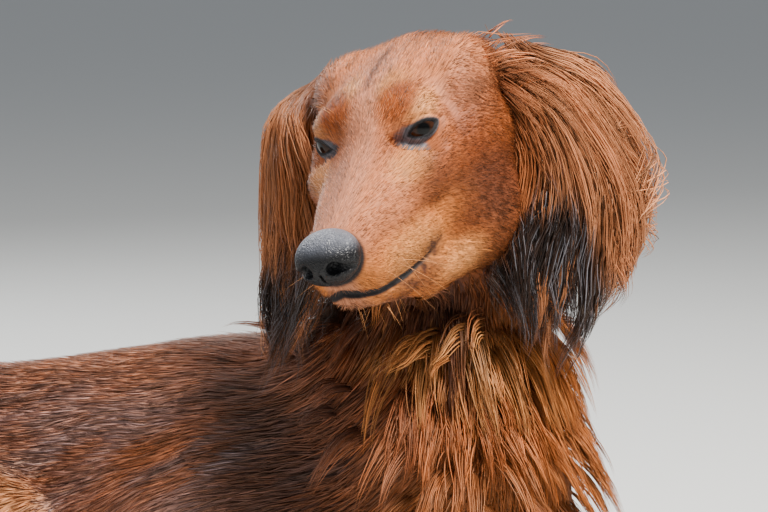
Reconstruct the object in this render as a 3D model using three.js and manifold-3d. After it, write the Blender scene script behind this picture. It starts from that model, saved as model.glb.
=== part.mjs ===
// A long-haired dachshund of standard size, life size, as a still model. It lies on its belly
// with its forelegs forward and its hind legs folded, holds its head up and looks to its right.
// Millimetres. The dog faces +X, its left side is +Y, and it rests on the plane z = 0.
import * as THREE from "three";
import { mergeVertices } from "three/addons/utils/BufferGeometryUtils.js";
import Module from "manifold-3d";

const wasm = await Module();
wasm.setup();

// Driving dimensions of the body
const RUMP_X = -368;
const TAIL_LENGTH = 275;
const GAP = 0.3; // between touching nodes
const CLEAR = 0.4; // between meshes of the same form in different sizes

// Torso stations from the rump to the chest: x, top, bottom, half width
const TORSO = [
  [-338, 122, 2, 50],
  [-300, 132, -3, 60],
  [-250, 135.5, -4, 65],
  [-198, 139.5, -4, 69],
  [-150, 147, -4, 73],
  [-102, 155, -4, 75],
  [-60, 157, -4, 74],
  [-20, 151, -3, 66],
  [24, 132, 4, 51],
];
const RUMP_CAP = 32; // how far the torso rounds off past its first and last station
const CHEST_CAP = 54;

// Driving dimensions of the head, in its own frame: forward from the eyes, left, up
const EYE_MIDDLE = [0, -92, 262];
const HEAD_FORWARD = [-0.159, -0.936, -0.315];
const HEAD_UP_HINT = [-0.249, -0.271, 0.93];
const EYE_RADIUS = 10.4;
const EYE_CENTRE = [-8.2, 21.2, -1.2];
const GAZE = [0.79, 0.612, 0.05];
const LID_THICKNESS = 2.2;
const CANTHUS_DEPTH = 7.8; // from the eye's centre to the line that joins its two corners
const LID_ROLL = 0.16; // how far the outer corner of the opening is raised
const LID_OPENING = [1.5, -1.3]; // slopes of the upper and lower lid edges from that line
const NOSE_CENTRE = [80, 0, -28.3];
const NOSE_SIZE = [12.5, 15.5, 12];

// Vector helpers on plain arrays
const add = (a, b) => [a[0] + b[0], a[1] + b[1], a[2] + b[2]];
const sub = (a, b) => [a[0] - b[0], a[1] - b[1], a[2] - b[2]];
const scale = (a, k) => [a[0] * k, a[1] * k, a[2] * k];
const dot = (a, b) => a[0] * b[0] + a[1] * b[1] + a[2] * b[2];
const cross = (a, b) => [
  a[1] * b[2] - a[2] * b[1],
  a[2] * b[0] - a[0] * b[2],
  a[0] * b[1] - a[1] * b[0],
];
const length = (x, y, z) => Math.sqrt(x * x + y * y + z * z);
const unit = (a) => scale(a, 1 / length(...a));
const along = (a, b, t) => add(a, scale(sub(b, a), t));
const clamp = (x, low, high) => Math.min(high, Math.max(low, x));
const smoothstep = (low, high, x) => {
  const t = clamp((x - low) / (high - low), 0, 1);
  return t * t * (3 - 2 * t);
};
const mirrored = (p, side) => [p[0], p[1] * side, p[2]];

// A seeded random number from 0 to 1 (mulberry32)
function randomFrom(seed) {
  let state = seed;
  return () => {
    state = (state + 0x6d2b79f5) | 0;
    let t = Math.imul(state ^ (state >>> 15), 1 | state);
    t = (t + Math.imul(t ^ (t >>> 7), 61 | t)) ^ t;
    return ((t ^ (t >>> 14)) >>> 0) / 4294967296;
  };
}

// The head's frame
const headForward = unit(HEAD_FORWARD);
const headLeft = unit(cross(HEAD_UP_HINT, headForward));
const headUp = cross(headForward, headLeft);
const toHead = (p) => {
  const q = sub(p, EYE_MIDDLE);
  return [dot(q, headForward), dot(q, headLeft), dot(q, headUp)];
};
const headDirection = (q) =>
  add(add(scale(headForward, q[0]), scale(headLeft, q[1])), scale(headUp, q[2]));
const fromHead = (q) => add(EYE_MIDDLE, headDirection(q));

// Distance functions: negative inside
const ellipsoid = (c, r) => (p) => {
  const x = (p[0] - c[0]) / r[0];
  const y = (p[1] - c[1]) / r[1];
  const z = (p[2] - c[2]) / r[2];
  const k0 = length(x, y, z);
  const k1 = length(x / r[0], y / r[1], z / r[2]);
  return k1 === 0 ? -Math.min(...r) : (k0 * (k0 - 1)) / k1;
};
const cone = (a, b, ra, rb) => {
  const axis = sub(b, a);
  const length2 = dot(axis, axis);
  return (p) => {
    const x = p[0] - a[0];
    const y = p[1] - a[1];
    const z = p[2] - a[2];
    const t = clamp((x * axis[0] + y * axis[1] + z * axis[2]) / length2, 0, 1);
    const r = ra + (rb - ra) * t;
    return length(x - t * axis[0], y - t * axis[1], z - t * axis[2]) - r;
  };
};
const smoothMin = (a, b, k) => {
  const h = Math.max(k - Math.abs(a - b), 0) / k;
  return Math.min(a, b) - (h * h * k) / 4;
};
const blend = (k, shapes) => (p) => {
  let d = shapes[0](p);
  for (let i = 1; i < shapes.length; i++) d = smoothMin(d, shapes[i](p), k);
  return d;
};
const pair = (make) => [make(1), make(-1)];
// A shape that is only measured near its bounding ball, to save time
const REACH = 50;
const within = (centre, radius, shape) => (p) => {
  const away = length(p[0] - centre[0], p[1] - centre[1], p[2] - centre[2]) - radius;
  return away > REACH ? away : shape(p);
};

// Flesh of the head, in its own frame: skull, brows, cheeks, muzzle, lips and jaw
const faceFlesh = blend(14, [
  ellipsoid([-56, 0, -14], [50, 42, 41]),
  ellipsoid([-24, 0, -9], [34, 31, 31]),
  ...pair((s) => ellipsoid([-54, 31 * s, 7], [25, 15, 17])),
  cone([-8, 0, -32], [60, 0, -37], 26, 15.5),
  cone([-8, 0, -4], [66, 0, -27], 15, 9),
  ...pair((s) => ellipsoid([-11, 18 * s, 7], [9, 9, 7])),
  ...pair((s) => cone([-10, 21 * s, -13], [36, 11 * s, -27], 11, 9)),
  ...pair((s) => ellipsoid([-44, 25 * s, -34], [36, 21, 32])),
  ...pair((s) => cone([-46, 35 * s, -20], [6, 26 * s, -18.5], 11, 9)),
  ...pair((s) => cone([-46, 22 * s, -63], [20, 13 * s, -65], 23, 10.5)),
  ...pair((s) => cone([-14, 23.5 * s, -42], [9, 17 * s, -45], 9, 7.5)),
]);
const muzzleFlesh = blend(7, [
  faceFlesh,
  ellipsoid([67, 0, -38], [12, 15.5, 12]),
  ...pair((s) => cone([10, 10 * s, -14], [64, 7 * s, -28], 8, 8)),
  ellipsoid([65, 0, -52], [12, 9.5, 8]),
  ...pair((s) => cone([20, 12 * s, -62], [62, 4 * s, -54], 10, 7.5)),
  ...pair((s) => cone([18, 15.5 * s, -44], [62, 8.5 * s, -43], 10.5, 9.5)),
]);
const lidBall = EYE_RADIUS + LID_THICKNESS;
const headFlesh = blend(7, [
  muzzleFlesh,
  ...pair((s) => ellipsoid(mirrored(EYE_CENTRE, s), [lidBall, lidBall, lidBall])),
]);

// Flesh of the body, legs and tail
const neckFlesh = blend(22, [
  cone([8, 0, 96], [14, 4, 165], 64, 50),
  cone([14, 4, 165], [20, 4, 222], 50, 43),
  cone([20, 4, 222], [19, -6, 262], 43, 40),
]);
// A long form given by stations of x, top, bottom and half width, rounded off at both ends
function stationsForm(stations, startCap, endCap) {
  const first = stations[0][0];
  const last = stations[stations.length - 1][0];
  const slope = (i, m) => {
    const before = stations[Math.max(i - 1, 0)];
    const after = stations[Math.min(i + 1, stations.length - 1)];
    return (after[m] - before[m]) / (after[0] - before[0]);
  };
  return (p) => {
    const x = clamp(p[0], first, last);
    let i = 0;
    while (i < stations.length - 2 && x > stations[i + 1][0]) i++;
    const span = stations[i + 1][0] - stations[i][0];
    const t = (x - stations[i][0]) / span;
    const curve = (m) => {
      const [from, to] = [stations[i][m], stations[i + 1][m]];
      const [leave, arrive] = [slope(i, m) * span, slope(i + 1, m) * span];
      return (
        from * (1 + 2 * t) * (1 - t) ** 2 +
        leave * t * (1 - t) ** 2 +
        to * t * t * (3 - 2 * t) -
        arrive * t * t * (1 - t)
      );
    };
    const [top, bottom, half] = [curve(1), curve(2), curve(3)];
    const high = (top - bottom) / 2;
    const cap = p[0] < x ? startCap : endCap;
    const e = (p[0] - x) / cap;
    const y = p[1] / half;
    const z = (p[2] - (top + bottom) / 2) / high;
    const k0 = length(e, y, z);
    const k1 = length(e / cap, y / half, z / high);
    return k1 === 0 ? -half : (k0 * (k0 - 1)) / k1;
  };
}
const torsoFlesh = blend(24, [
  stationsForm(TORSO, RUMP_CAP, CHEST_CAP),
  ...pair((s) => cone([-45, 26 * s, 132], [30, 48 * s, 84], 17, 26)),
]);
const foreleg = (s) =>
  blend(12, [
    cone([36, 50 * s, 80], [-14, 64 * s, 38], 27, 22),
    ellipsoid([-24, 66 * s, 28], [22, 15, 24]),
    cone([-12, 64 * s, 19], [84, 58 * s, 13], 20, 14.5),
    ellipsoid([90, 57 * s, 13.5], [17, 15.5, 16]),
    ellipsoid([114, 56 * s, 12], [26, 19, 15]),
  ]);
const hindleg = (s) =>
  blend(14, [
    cone([-296, 42 * s, 82], [-212, 70 * s, 62], 48, 36),
    ellipsoid([-198, 76 * s, 58], [36, 30, 37]),
    cone([-206, 80 * s, 32], [-290, 84 * s, 25], 25, 18),
    ellipsoid([-300, 85 * s, 22], [16, 13, 22]),
    cone([-296, 88 * s, 12], [-226, 97 * s, 11], 13, 13),
    ellipsoid([-204, 99 * s, 11], [27, 18, 14]),
  ]);
const tailPath = new THREE.CatmullRomCurve3([
  new THREE.Vector3(RUMP_X + 26, 0, 104),
  new THREE.Vector3(RUMP_X - 22, 2, 76),
  new THREE.Vector3(RUMP_X - 58, 8, 38),
  new THREE.Vector3(RUMP_X - 106, 18, 8),
  new THREE.Vector3(RUMP_X - 178, 38, 5.2),
  new THREE.Vector3(RUMP_X - TAIL_LENGTH + 12, 64, 3.4),
]);
const TAIL_STEPS = 10;
const tailRadius = (t) => 20 - 11 * Math.sqrt(t) - 5 * t;
const tailFlesh = blend(
  4,
  Array.from({ length: TAIL_STEPS }, (_, i) => {
    const ends = [i / TAIL_STEPS, (i + 1) / TAIL_STEPS];
    const [a, b] = ends.map((t) => tailPath.getPoint(t).toArray());
    return cone(a, b, tailRadius(ends[0]), tailRadius(ends[1]));
  }),
);
const toes = (wrist, s, spread, reach) =>
  [-1.5, -0.5, 0.5, 1.5].map((k) => {
    const forward = reach - 3.2 * Math.abs(k);
    return ellipsoid(
      [wrist[0] + forward, (wrist[1] + spread * k) * s, wrist[2] - 2],
      [13, 6.2, 9.5],
    );
  });
const FOREPAW = [114, 56, 12];
const HINDPAW = [-204, 99, 11];
const FORE_TOE = { spread: 8.6, reach: 21 };
const HIND_TOE = { spread: 7.6, reach: 22 };
const pawFlesh = pair((s) => {
  const fore = blend(3, toes(FOREPAW, s, FORE_TOE.spread, FORE_TOE.reach));
  const hind = blend(3, toes(HINDPAW, s, HIND_TOE.spread, HIND_TOE.reach));
  const near = (paw, shape) => within([paw[0] + 18, paw[1] * s, paw[2]], 30, shape);
  return blend(3, [near(FOREPAW, fore), near(HINDPAW, hind)]);
});

const bodyFlesh = blend(16, [
  blend(34, [torsoFlesh, neckFlesh]),
  ...pair((s) => within([50, 57 * s, 40], 115, foreleg(s))),
  ...pair((s) => within([-250, 75 * s, 50], 105, hindleg(s))),
  within([RUMP_X - 110, 20, 50], 185, tailFlesh),
]);
const headNear = within(fromHead([-8, 0, -20]), 118, (p) => headFlesh(toHead(p)));
const flesh = (p) => {
  const body = smoothMin(bodyFlesh(p), Math.min(pawFlesh[0](p), pawFlesh[1](p)), 4);
  return smoothMin(body, headNear(p), 20);
};
function normalOf(distance, p, step = 0.5) {
  const g = [0, 1, 2].map((i) => {
    const near = [...p];
    const far = [...p];
    near[i] -= step;
    far[i] += step;
    return distance(far) - distance(near);
  });
  return unit(g);
}
function onto(distance, p, height = 0, rounds = 6) {
  let q = p;
  for (let i = 0; i < rounds; i++) {
    q = add(q, scale(normalOf(distance, q), height - distance(q)));
  }
  return q;
}

// Edges of a closed mesh are drawn together to one of their ends, in passes, where that is wanted,
// keeps the mesh closed and turns no triangle over
const SLIVER = 0.004; // twice the area of a triangle too thin to have a sure direction
function drawTogether(points, triangles, passes, { wanted, done = () => {} }) {
  const around = points.map(() => new Set());
  triangles.forEach((t, i) => t.forEach((v) => around[v].add(i)));
  const normal = ([a, b, c]) => cross(sub(points[b], points[a]), sub(points[c], points[a]));
  const beside = (v) => {
    const found = new Set();
    for (const i of around[v]) for (const w of triangles[i]) if (w !== v) found.add(w);
    return found;
  };
  const canMove = (a, b) => {
    const others = beside(b);
    let shared = 0;
    for (const v of beside(a)) if (others.has(v)) shared++;
    if (shared !== 2) return false;
    for (const i of around[a]) {
      const t = triangles[i];
      if (t.includes(b)) continue;
      const before = normal(t);
      if (length(...before) < SLIVER) continue;
      const after = normal(t.map((v) => (v === a ? b : v)));
      if (dot(before, after) < 0.4 * length(...before) * length(...after)) return false;
    }
    return true;
  };
  const move = (a, b) => {
    for (const i of around[a]) {
      if (triangles[i].includes(b)) {
        for (const v of triangles[i]) if (v !== a) around[v].delete(i);
        triangles[i] = null;
      } else {
        triangles[i] = triangles[i].map((v) => (v === a ? b : v));
        around[b].add(i);
      }
    }
    around[a].clear();
    done(a, b);
  };
  for (let pass = 0; pass < passes; pass++) {
    for (let i = 0; i < triangles.length; i++) {
      for (let k = 0; k < 3 && triangles[i]; k++) {
        const [a, b] = [triangles[i][k], triangles[i][(k + 1) % 3]];
        if (wanted(a, b, pass) && canMove(a, b)) move(a, b);
      }
    }
  }
  return triangles.filter((t) => t);
}

// A smooth mesh is thinned where it is nearly flat: a point moves only to a neighbour that lies
// close, on average, to all the planes that the point has stood for
const THIN_PASSES = 6;
const LONGEST = 48; // no edge grows past this
function thinned(points, triangles, tolerance) {
  const planes = points.map(() => new Float64Array(11));
  for (const t of triangles) {
    const [a, b, c] = t.map((v) => points[v]);
    const n = cross(sub(b, a), sub(c, a));
    const size = length(...n);
    if (size === 0) continue;
    const [x, y, z] = scale(n, 1 / size);
    const d = -(x * a[0] + y * a[1] + z * a[2]);
    const terms = [x * x, x * y, x * z, x * d, y * y, y * z, y * d, z * z, z * d, d * d, 1];
    for (const v of t) terms.forEach((term, i) => (planes[v][i] += term));
  }
  const error = (a, [x, y, z]) => {
    const q = planes[a];
    const squares = q[0] * x * x + q[4] * y * y + q[7] * z * z + q[9];
    const products = q[1] * x * y + q[2] * x * z + q[3] * x + q[5] * y * z + q[6] * y + q[8] * z;
    return (squares + 2 * products) / q[10];
  };
  return drawTogether(points, triangles, THIN_PASSES, {
    wanted: (a, b, pass) =>
      error(a, points[b]) < (tolerance * (pass + 1) / THIN_PASSES) ** 2 &&
      length(...sub(points[a], points[b])) < LONGEST,
    done: (a, b) => planes[a].forEach((term, i) => (planes[b][i] += term)),
  });
}

const BLOCK = 4; // cells a side that are skipped together where the surface is far away

// Grid lines from low to high, about cell apart, with one more at each end. A cell size that
// varies along the way is given as a function
function gridLines(low, high, cell) {
  const size = typeof cell === "number" ? () => cell : cell;
  const lines = [low - size(low)];
  for (let x = low; x < high - size(x) / 2; x += size(x)) lines.push(x);
  lines.push(high, high + size(high));
  return lines;
}
const gridOf = (low, high, cells) => cells.map((cell, a) => gridLines(low[a], high[a], cell));

// The surface of a distance function inside a grid, as a closed mesh: one vertex in each cell
// that the surface crosses, moved onto the surface, and then thinned
function surfaceOf(distance, grid, level, tolerance) {
  const n = grid.map((lines) => lines.length);
  const low = grid.map((lines) => lines[1]);
  const high = grid.map((lines) => lines[lines.length - 2]);
  const at = (...c) => c.map((x, a) => grid[a][Math.min(x, n[a] - 1)]);
  const index = (i, j, k) => (k * n[1] + j) * n[0] + i;
  const beyondBox = (p) => Math.max(...p.map((x, a) => Math.max(low[a] - x, x - high[a])));
  const value = new Float64Array(n[0] * n[1] * n[2]);
  const fill = (i0, j0, k0, make) => {
    for (let k = k0; k < Math.min(k0 + BLOCK, n[2]); k++)
      for (let j = j0; j < Math.min(j0 + BLOCK, n[1]); j++)
        for (let i = i0; i < Math.min(i0 + BLOCK, n[0]); i++) {
          const p = at(i, j, k);
          value[index(i, j, k)] = Math.max(make(p), beyondBox(p));
        }
  };
  for (let k = 0; k < n[2]; k += BLOCK)
    for (let j = 0; j < n[1]; j += BLOCK)
      for (let i = 0; i < n[0]; i += BLOCK) {
        const half = BLOCK / 2;
        const middle = distance(at(i + half, j + half, k + half)) - level;
        const across = length(...sub(at(i + BLOCK, j + BLOCK, k + BLOCK), at(i, j, k)));
        const far = Math.abs(middle) > 0.7 * across;
        fill(i, j, k, far ? () => middle : (p) => distance(p) - level);
      }
  const corners = [0, 1, 2, 3, 4, 5, 6, 7].map((c) => [c & 1, (c >> 1) & 1, c >> 2]);
  const vertexOf = new Map();
  const positions = [];
  for (let k = 0; k < n[2] - 1; k++)
    for (let j = 0; j < n[1] - 1; j++)
      for (let i = 0; i < n[0] - 1; i++) {
        const v = corners.map(([a, b, c]) => value[index(i + a, j + b, k + c)]);
        const inside = v.filter((x) => x < 0).length;
        if (inside === 0 || inside === 8) continue;
        let sum = [0, 0, 0];
        let count = 0;
        for (let a = 0; a < 8; a++)
          for (let b = a + 1; b < 8; b++) {
            const apart = corners[a].reduce((s, c, m) => s + Math.abs(c - corners[b][m]), 0);
            if (apart !== 1 || v[a] < 0 === v[b] < 0) continue;
            sum = add(sum, along(corners[a], corners[b], v[a] / (v[a] - v[b])));
            count++;
          }
        const middle = scale(sum, 1 / count);
        const cell = sub(at(i + 1, j + 1, k + 1), at(i, j, k));
        let p = add(at(i, j, k), cell.map((x, a) => x * middle[a]));
        if (beyondBox(p) < -Math.max(...cell)) {
          const q = onto(distance, p, level, 2);
          if (length(...sub(q, p)) < Math.min(...cell) * 0.5) p = q;
        }
        vertexOf.set(index(i, j, k), positions.length / 3);
        positions.push(...p);
      }
  const faces = [];
  const steps = [
    [1, 0, 0],
    [0, 1, 0],
    [0, 0, 1],
  ];
  const pointAt = (m) => positions.slice(3 * m, 3 * m + 3);
  for (let k = 1; k < n[2] - 1; k++)
    for (let j = 1; j < n[1] - 1; j++)
      for (let i = 1; i < n[0] - 1; i++)
        for (let axis = 0; axis < 3; axis++) {
          const [a, b, c] = steps[axis];
          const here = value[index(i, j, k)];
          const next = value[index(i + a, j + b, k + c)];
          if (here < 0 === next < 0) continue;
          const u = steps[(axis + 1) % 3];
          const w = steps[(axis + 2) % 3];
          const cells = [
            [0, 0],
            [1, 0],
            [1, 1],
            [0, 1],
          ].map(([x, y]) =>
            vertexOf.get(
              index(i - x * u[0] - y * w[0], j - x * u[1] - y * w[1], k - x * u[2] - y * w[2]),
            ),
          );
          const quad = here < 0 ? cells : [...cells].reverse();
          const across = length(...sub(pointAt(quad[0]), pointAt(quad[2])));
          const other = length(...sub(pointAt(quad[1]), pointAt(quad[3])));
          const [q0, q1, q2, q3] = across < other ? quad : [...quad.slice(1), quad[0]];
          faces.push([q0, q1, q2], [q0, q2, q3]);
        }
  const points = Array.from({ length: positions.length / 3 }, (_, m) => pointAt(m));
  const kept = thinned(points, faces, tolerance).flat();
  const geometry = new THREE.BufferGeometry();
  geometry.setAttribute("position", new THREE.Float32BufferAttribute(positions, 3));
  geometry.setIndex(kept);
  return geometry;
}

// A closed skin over rings of points, with a flat cap at its start and a cap or a point at its end
function loft(rings, tip = null) {
  const sides = rings[0].length;
  const positions = rings.flat(2);
  const faces = [];
  for (let i = 0; i < rings.length - 1; i++)
    for (let j = 0; j < sides; j++) {
      const a = i * sides + j;
      const b = i * sides + ((j + 1) % sides);
      faces.push(a, b, b + sides, a, b + sides, a + sides);
    }
  for (let j = 1; j < sides - 1; j++) faces.push(0, j + 1, j);
  const last = (rings.length - 1) * sides;
  if (tip) {
    positions.push(...tip);
    for (let j = 0; j < sides; j++) {
      faces.push(last + j, last + ((j + 1) % sides), rings.length * sides);
    }
  } else {
    for (let j = 1; j < sides - 1; j++) faces.push(last, last + j, last + j + 1);
  }
  const geometry = new THREE.BufferGeometry();
  geometry.setAttribute("position", new THREE.Float32BufferAttribute(positions, 3));
  geometry.setIndex(faces);
  return geometry;
}

// Solids for cutting and joining
function solidOf(geometry) {
  const bare = geometry.index ? geometry.toNonIndexed() : geometry.clone();
  bare.deleteAttribute("normal");
  bare.deleteAttribute("uv");
  const merged = mergeVertices(bare, 1e-4);
  const solid = new wasm.Manifold(
    new wasm.Mesh({
      numProp: 3,
      vertProperties: new Float32Array(merged.attributes.position.array),
      triVerts: new Uint32Array(merged.index.array),
    }),
  );
  if (solid.volume() > 0) return solid;
  const turned = new Uint32Array(merged.index.array);
  for (let i = 0; i < turned.length; i += 3) {
    [turned[i + 1], turned[i + 2]] = [turned[i + 2], turned[i + 1]];
  }
  return new wasm.Manifold(
    new wasm.Mesh({
      numProp: 3,
      vertProperties: new Float32Array(merged.attributes.position.array),
      triVerts: turned,
    }),
  );
}
// Cuts leave very short edges, which are drawn together
const SHORT_EDGE = 0.12;
const withoutShortEdges = (points, triangles) =>
  drawTogether(points, triangles, 2, {
    wanted: (a, b) => length(...sub(points[a], points[b])) < SHORT_EDGE,
  });
// Where two parts of a mesh only touch at a point or along a line, they are drawn apart a little
const PULL = 0.04;
function withoutTouching(points, triangles) {
  const same = new Map();
  points.forEach((p, v) => {
    const key = p.map((x) => x.toFixed(4)).join();
    same.set(key, [...(same.get(key) ?? []), v]);
  });
  const moved = [...points];
  for (const group of same.values()) {
    if (group.length === 1) continue;
    for (const v of group) {
      const near = triangles.filter((t) => t.includes(v)).flat();
      const middle = scale(near.reduce((sum, w) => add(sum, points[w]), [0, 0, 0]), 1 / near.length);
      moved[v] = add(points[v], scale(unit(sub(middle, points[v])), PULL));
    }
  }
  return moved;
}
function geometryOf(solid) {
  const mesh = solid.getMesh();
  const found = Array.from({ length: mesh.numVert }, (_, i) =>
    Array.from(mesh.vertProperties.subarray(i * mesh.numProp, i * mesh.numProp + 3)),
  );
  const triangles = Array.from({ length: mesh.numTri }, (_, i) =>
    Array.from(mesh.triVerts.subarray(3 * i, 3 * i + 3)),
  );
  const points = withoutTouching(found, triangles);
  const kept = withoutShortEdges(points, triangles);
  const geometry = new THREE.BufferGeometry();
  geometry.setAttribute("position", new THREE.Float32BufferAttribute(points.flat(), 3));
  geometry.setIndex(kept.flat());
  return geometry;
}
function largest(solid) {
  const pieces = solid.decompose();
  return pieces.reduce((a, b) => (a.volume() > b.volume() ? a : b));
}
const fused = (solids) => solids.reduce((a, b) => a.add(b));

// A box given by its low and high corners along three axes through a centre, grown by a margin
function boxSolid(low, high, grow = 0, centre = [0, 0, 0], axes = null) {
  const size = [0, 1, 2].map((i) => high[i] - low[i] + 2 * grow);
  const middle = [0, 1, 2].map((i) => (high[i] + low[i]) / 2);
  const geometry = new THREE.BoxGeometry(...size);
  geometry.translate(...middle);
  if (axes) {
    const turn = new THREE.Matrix4().makeBasis(...axes.map((a) => new THREE.Vector3(...a)));
    geometry.applyMatrix4(turn);
  }
  geometry.translate(...centre);
  return solidOf(geometry);
}
// A solid cut back to a gap from its neighbours
const SHIFTS = [1, -1].flatMap((k) => [[k, 0, 0], [0, k, 0], [0, 0, k]]);
const clearOf = (solid, neighbours) =>
  neighbours
    .flatMap((other) => SHIFTS.map((shift) => other.translate(scale(shift, CLEAR))))
    .reduce((s, other) => s.subtract(other), solid);
// The two sides of a plane, each held back by half the gap
const ahead = (solid, point, normal) =>
  solid.trimByPlane(unit(normal), dot(point, unit(normal)) + GAP / 2);
const behind = (solid, point, normal) => ahead(solid, point, scale(normal, -1));
const aboveFloor = (solid) => solid.trimByPlane([0, 0, 1], 0);

const group = new THREE.Group();
const solids = {};
function node(name, solid, material) {
  solids[name] = largest(solid);
  const mesh = new THREE.Mesh(geometryOf(solids[name]), material);
  mesh.name = name;
  group.add(mesh);
}
const finish = (color, roughness) =>
  new THREE.MeshStandardMaterial({ color, roughness, metalness: 0 });
const coat = finish(0x7a3417, 0.62);
const earCoat = finish(0x8a3f1d, 0.6);
const leather = finish(0x16161a, 0.35);
const eyeball = finish(0x1c110b, 0.08);
const horn = finish(0x1b1512, 0.4);

// Territories: the regions that the head, the legs and the tail are cut from
const NECK_CUT = [-74, 0, -28];
const neckAxis = unit(headDirection([0.85, 0, 0.53]));
const headAxes = [headForward, headLeft, headUp];
const headTerritory = (grow) =>
  boxSolid([-140, -90, -82], [130, 90, 90], grow, EYE_MIDDLE, headAxes).trimByPlane(
    neckAxis,
    dot(fromHead(NECK_CUT), neckAxis) - grow,
  );
const sideBox = ([low, high], s) =>
  s > 0 ? [low, high] : [[low[0], -high[1], low[2]], [high[0], -low[1], high[2]]];
const FORE_BOX = [
  [-56, 33, -20],
  [170, 130, 92],
];
const HIND_BOX = [
  [-342, 44, -20],
  [-150, 150, 108],
];
const TAIL_CUT = [RUMP_X + 8, 0, 96];
const TAIL_AXIS = [-1, 0, -0.12];
const NECK_BASE = [-40, 0, 160];
const NECK_NORMAL = [0.5, 0, 0.866];
const ELBOW = [2, 60, 24];
const ELBOW_AXIS = [1, -0.06, -0.25];
const WRIST = [86, 58, 15];
const WRIST_AXIS = [1, 0, 0];
const SHANK = [-250, 80, 38];
const SHANK_AXIS = [0.12, 0.1, 1];
const HOCK = [-250, 90, 24];
const HOCK_AXIS = [0.1, -0.3, 1];

// A mesh of one form in the head's frame, set in place
function headPiece(distance, low, high, cells, level, tolerance) {
  const geometry = surfaceOf(distance, gridOf(low, high, cells), level, tolerance);
  return solidOf(placed(geometry));
}
function placed(geometry) {
  const turn = new THREE.Matrix4().makeBasis(...headAxes.map((a) => new THREE.Vector3(...a)));
  return geometry.applyMatrix4(turn.setPosition(...EYE_MIDDLE));
}
const BODY_TOLERANCE = 1.1;
const HEAD_TOLERANCE = 0.5;
const PAW_TOLERANCE = 0.7;
const fleshIn = (low, high, cells, tolerance = BODY_TOLERANCE) =>
  solidOf(surfaceOf(flesh, gridOf(low, high, cells), 0, tolerance));

// The eyes: a ball in rings round the line of sight
const EYE_SEGMENTS = 14;
const EYE_RINGS = 8;
function eyeBall(s, grow) {
  const radius = EYE_RADIUS + grow;
  const geometry = new THREE.SphereGeometry(radius, EYE_SEGMENTS, EYE_RINGS);
  const gaze = new THREE.Vector3(...unit(mirrored(GAZE, s)));
  const turn = new THREE.Quaternion().setFromUnitVectors(new THREE.Vector3(0, 1, 0), gaze);
  geometry.applyQuaternion(turn);
  geometry.translate(...mirrored(EYE_CENTRE, s));
  return solidOf(placed(geometry));
}
// The opening between the lids: a wedge whose edge joins the two corners of the eye
function lidOpening(s) {
  const gaze = unit(mirrored(GAZE, s));
  const above = [0, -LID_ROLL * s, 1];
  const rise = unit(sub(above, scale(gaze, dot(gaze, above))));
  const side = cross(rise, gaze);
  const reach = lidBall + 6;
  const at = (forward, up, across) =>
    add(
      add(mirrored(EYE_CENTRE, s), scale(gaze, forward)),
      add(scale(rise, up), scale(side, across)),
    );
  const ring = (across) => [
    at(CANTHUS_DEPTH, 0, across),
    at(CANTHUS_DEPTH + reach, LID_OPENING[0] * reach, across),
    at(CANTHUS_DEPTH + reach, LID_OPENING[1] * reach, across),
  ];
  return solidOf(placed(loft([ring(-reach), ring(reach)]))).intersect(eyeBall(s, lidBall - 6));
}

// The nose with its two nostrils, each drawn out to the side
const nostril = (s) =>
  blend(2, [
    ellipsoid([NOSE_CENTRE[0] + 11, 7 * s, NOSE_CENTRE[2] - 1], [6, 3.4, 3.4]),
    cone(
      [NOSE_CENTRE[0] + 9, 10 * s, NOSE_CENTRE[2] - 2],
      [NOSE_CENTRE[0] + 3, 15.5 * s, NOSE_CENTRE[2] - 4],
      2.2,
      1.5,
    ),
  ]);
const nostrils = pair(nostril);
const noseForm = (p) => {
  const pad = smoothMin(
    ellipsoid(NOSE_CENTRE, NOSE_SIZE)(p),
    ellipsoid([NOSE_CENTRE[0] - 4, 0, NOSE_CENTRE[2] + 3], [12, 13, 9])(p),
    6,
  );
  const holes = Math.min(nostrils[0](p), nostrils[1](p));
  return -smoothMin(-pad, holes, 1.5);
};
const noseSolid = () => {
  const reach = NOSE_SIZE.map((x) => x + 3);
  const centre = [NOSE_CENTRE[0], NOSE_CENTRE[1], NOSE_CENTRE[2] + 1];
  return headPiece(noseForm, sub(centre, reach), add(centre, reach), [3, 2.6, 2.8], 0, 0.3);
};

// The line of the mouth: a groove from corner to corner round the front of the upper lip
const MOUTH_LINE = [
  [82, 0, -47],
  [78, 8, -48.7],
  [61.5, 14, -53.4],
  [50, 17.5, -55],
  [40, 20.5, -55.6],
  [22, 26, -53.5],
  [14, 28, -50],
];
const MOUTH_DEPTH = 4.5;
const MOUTH_REACH = 3;
const MOUTH_WIDTH = 2.4;
const MOUTH_STEPS = 16;
const SURFACE_STEPS = 6;
function mouthGroove() {
  const points = [...MOUTH_LINE.slice(1).reverse().map((q) => mirrored(q, -1)), ...MOUTH_LINE];
  const line = new THREE.CatmullRomCurve3(points.map((q) => new THREE.Vector3(...q)));
  const rings = Array.from({ length: MOUTH_STEPS + 1 }, (_, i) => {
    const t = i / MOUTH_STEPS;
    const ahead = line.getTangent(t).toArray();
    const out = unit([ahead[1], -ahead[0], 0]);
    let p = line.getPoint(t).toArray();
    for (let n = 0; n < SURFACE_STEPS; n++) p = sub(p, scale(out, muzzleFlesh(p)));
    const fade = 0.35 + 0.65 * Math.sin(Math.PI * clamp(t, 0.02, 0.98));
    const outer = add(p, scale(out, MOUTH_REACH));
    return [
      add(p, scale(out, -MOUTH_DEPTH * fade)),
      add(outer, [0, 0, MOUTH_WIDTH / 2]),
      sub(outer, [0, 0, MOUTH_WIDTH / 2]),
    ];
  });
  return solidOf(placed(loft(rings)));
}

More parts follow.
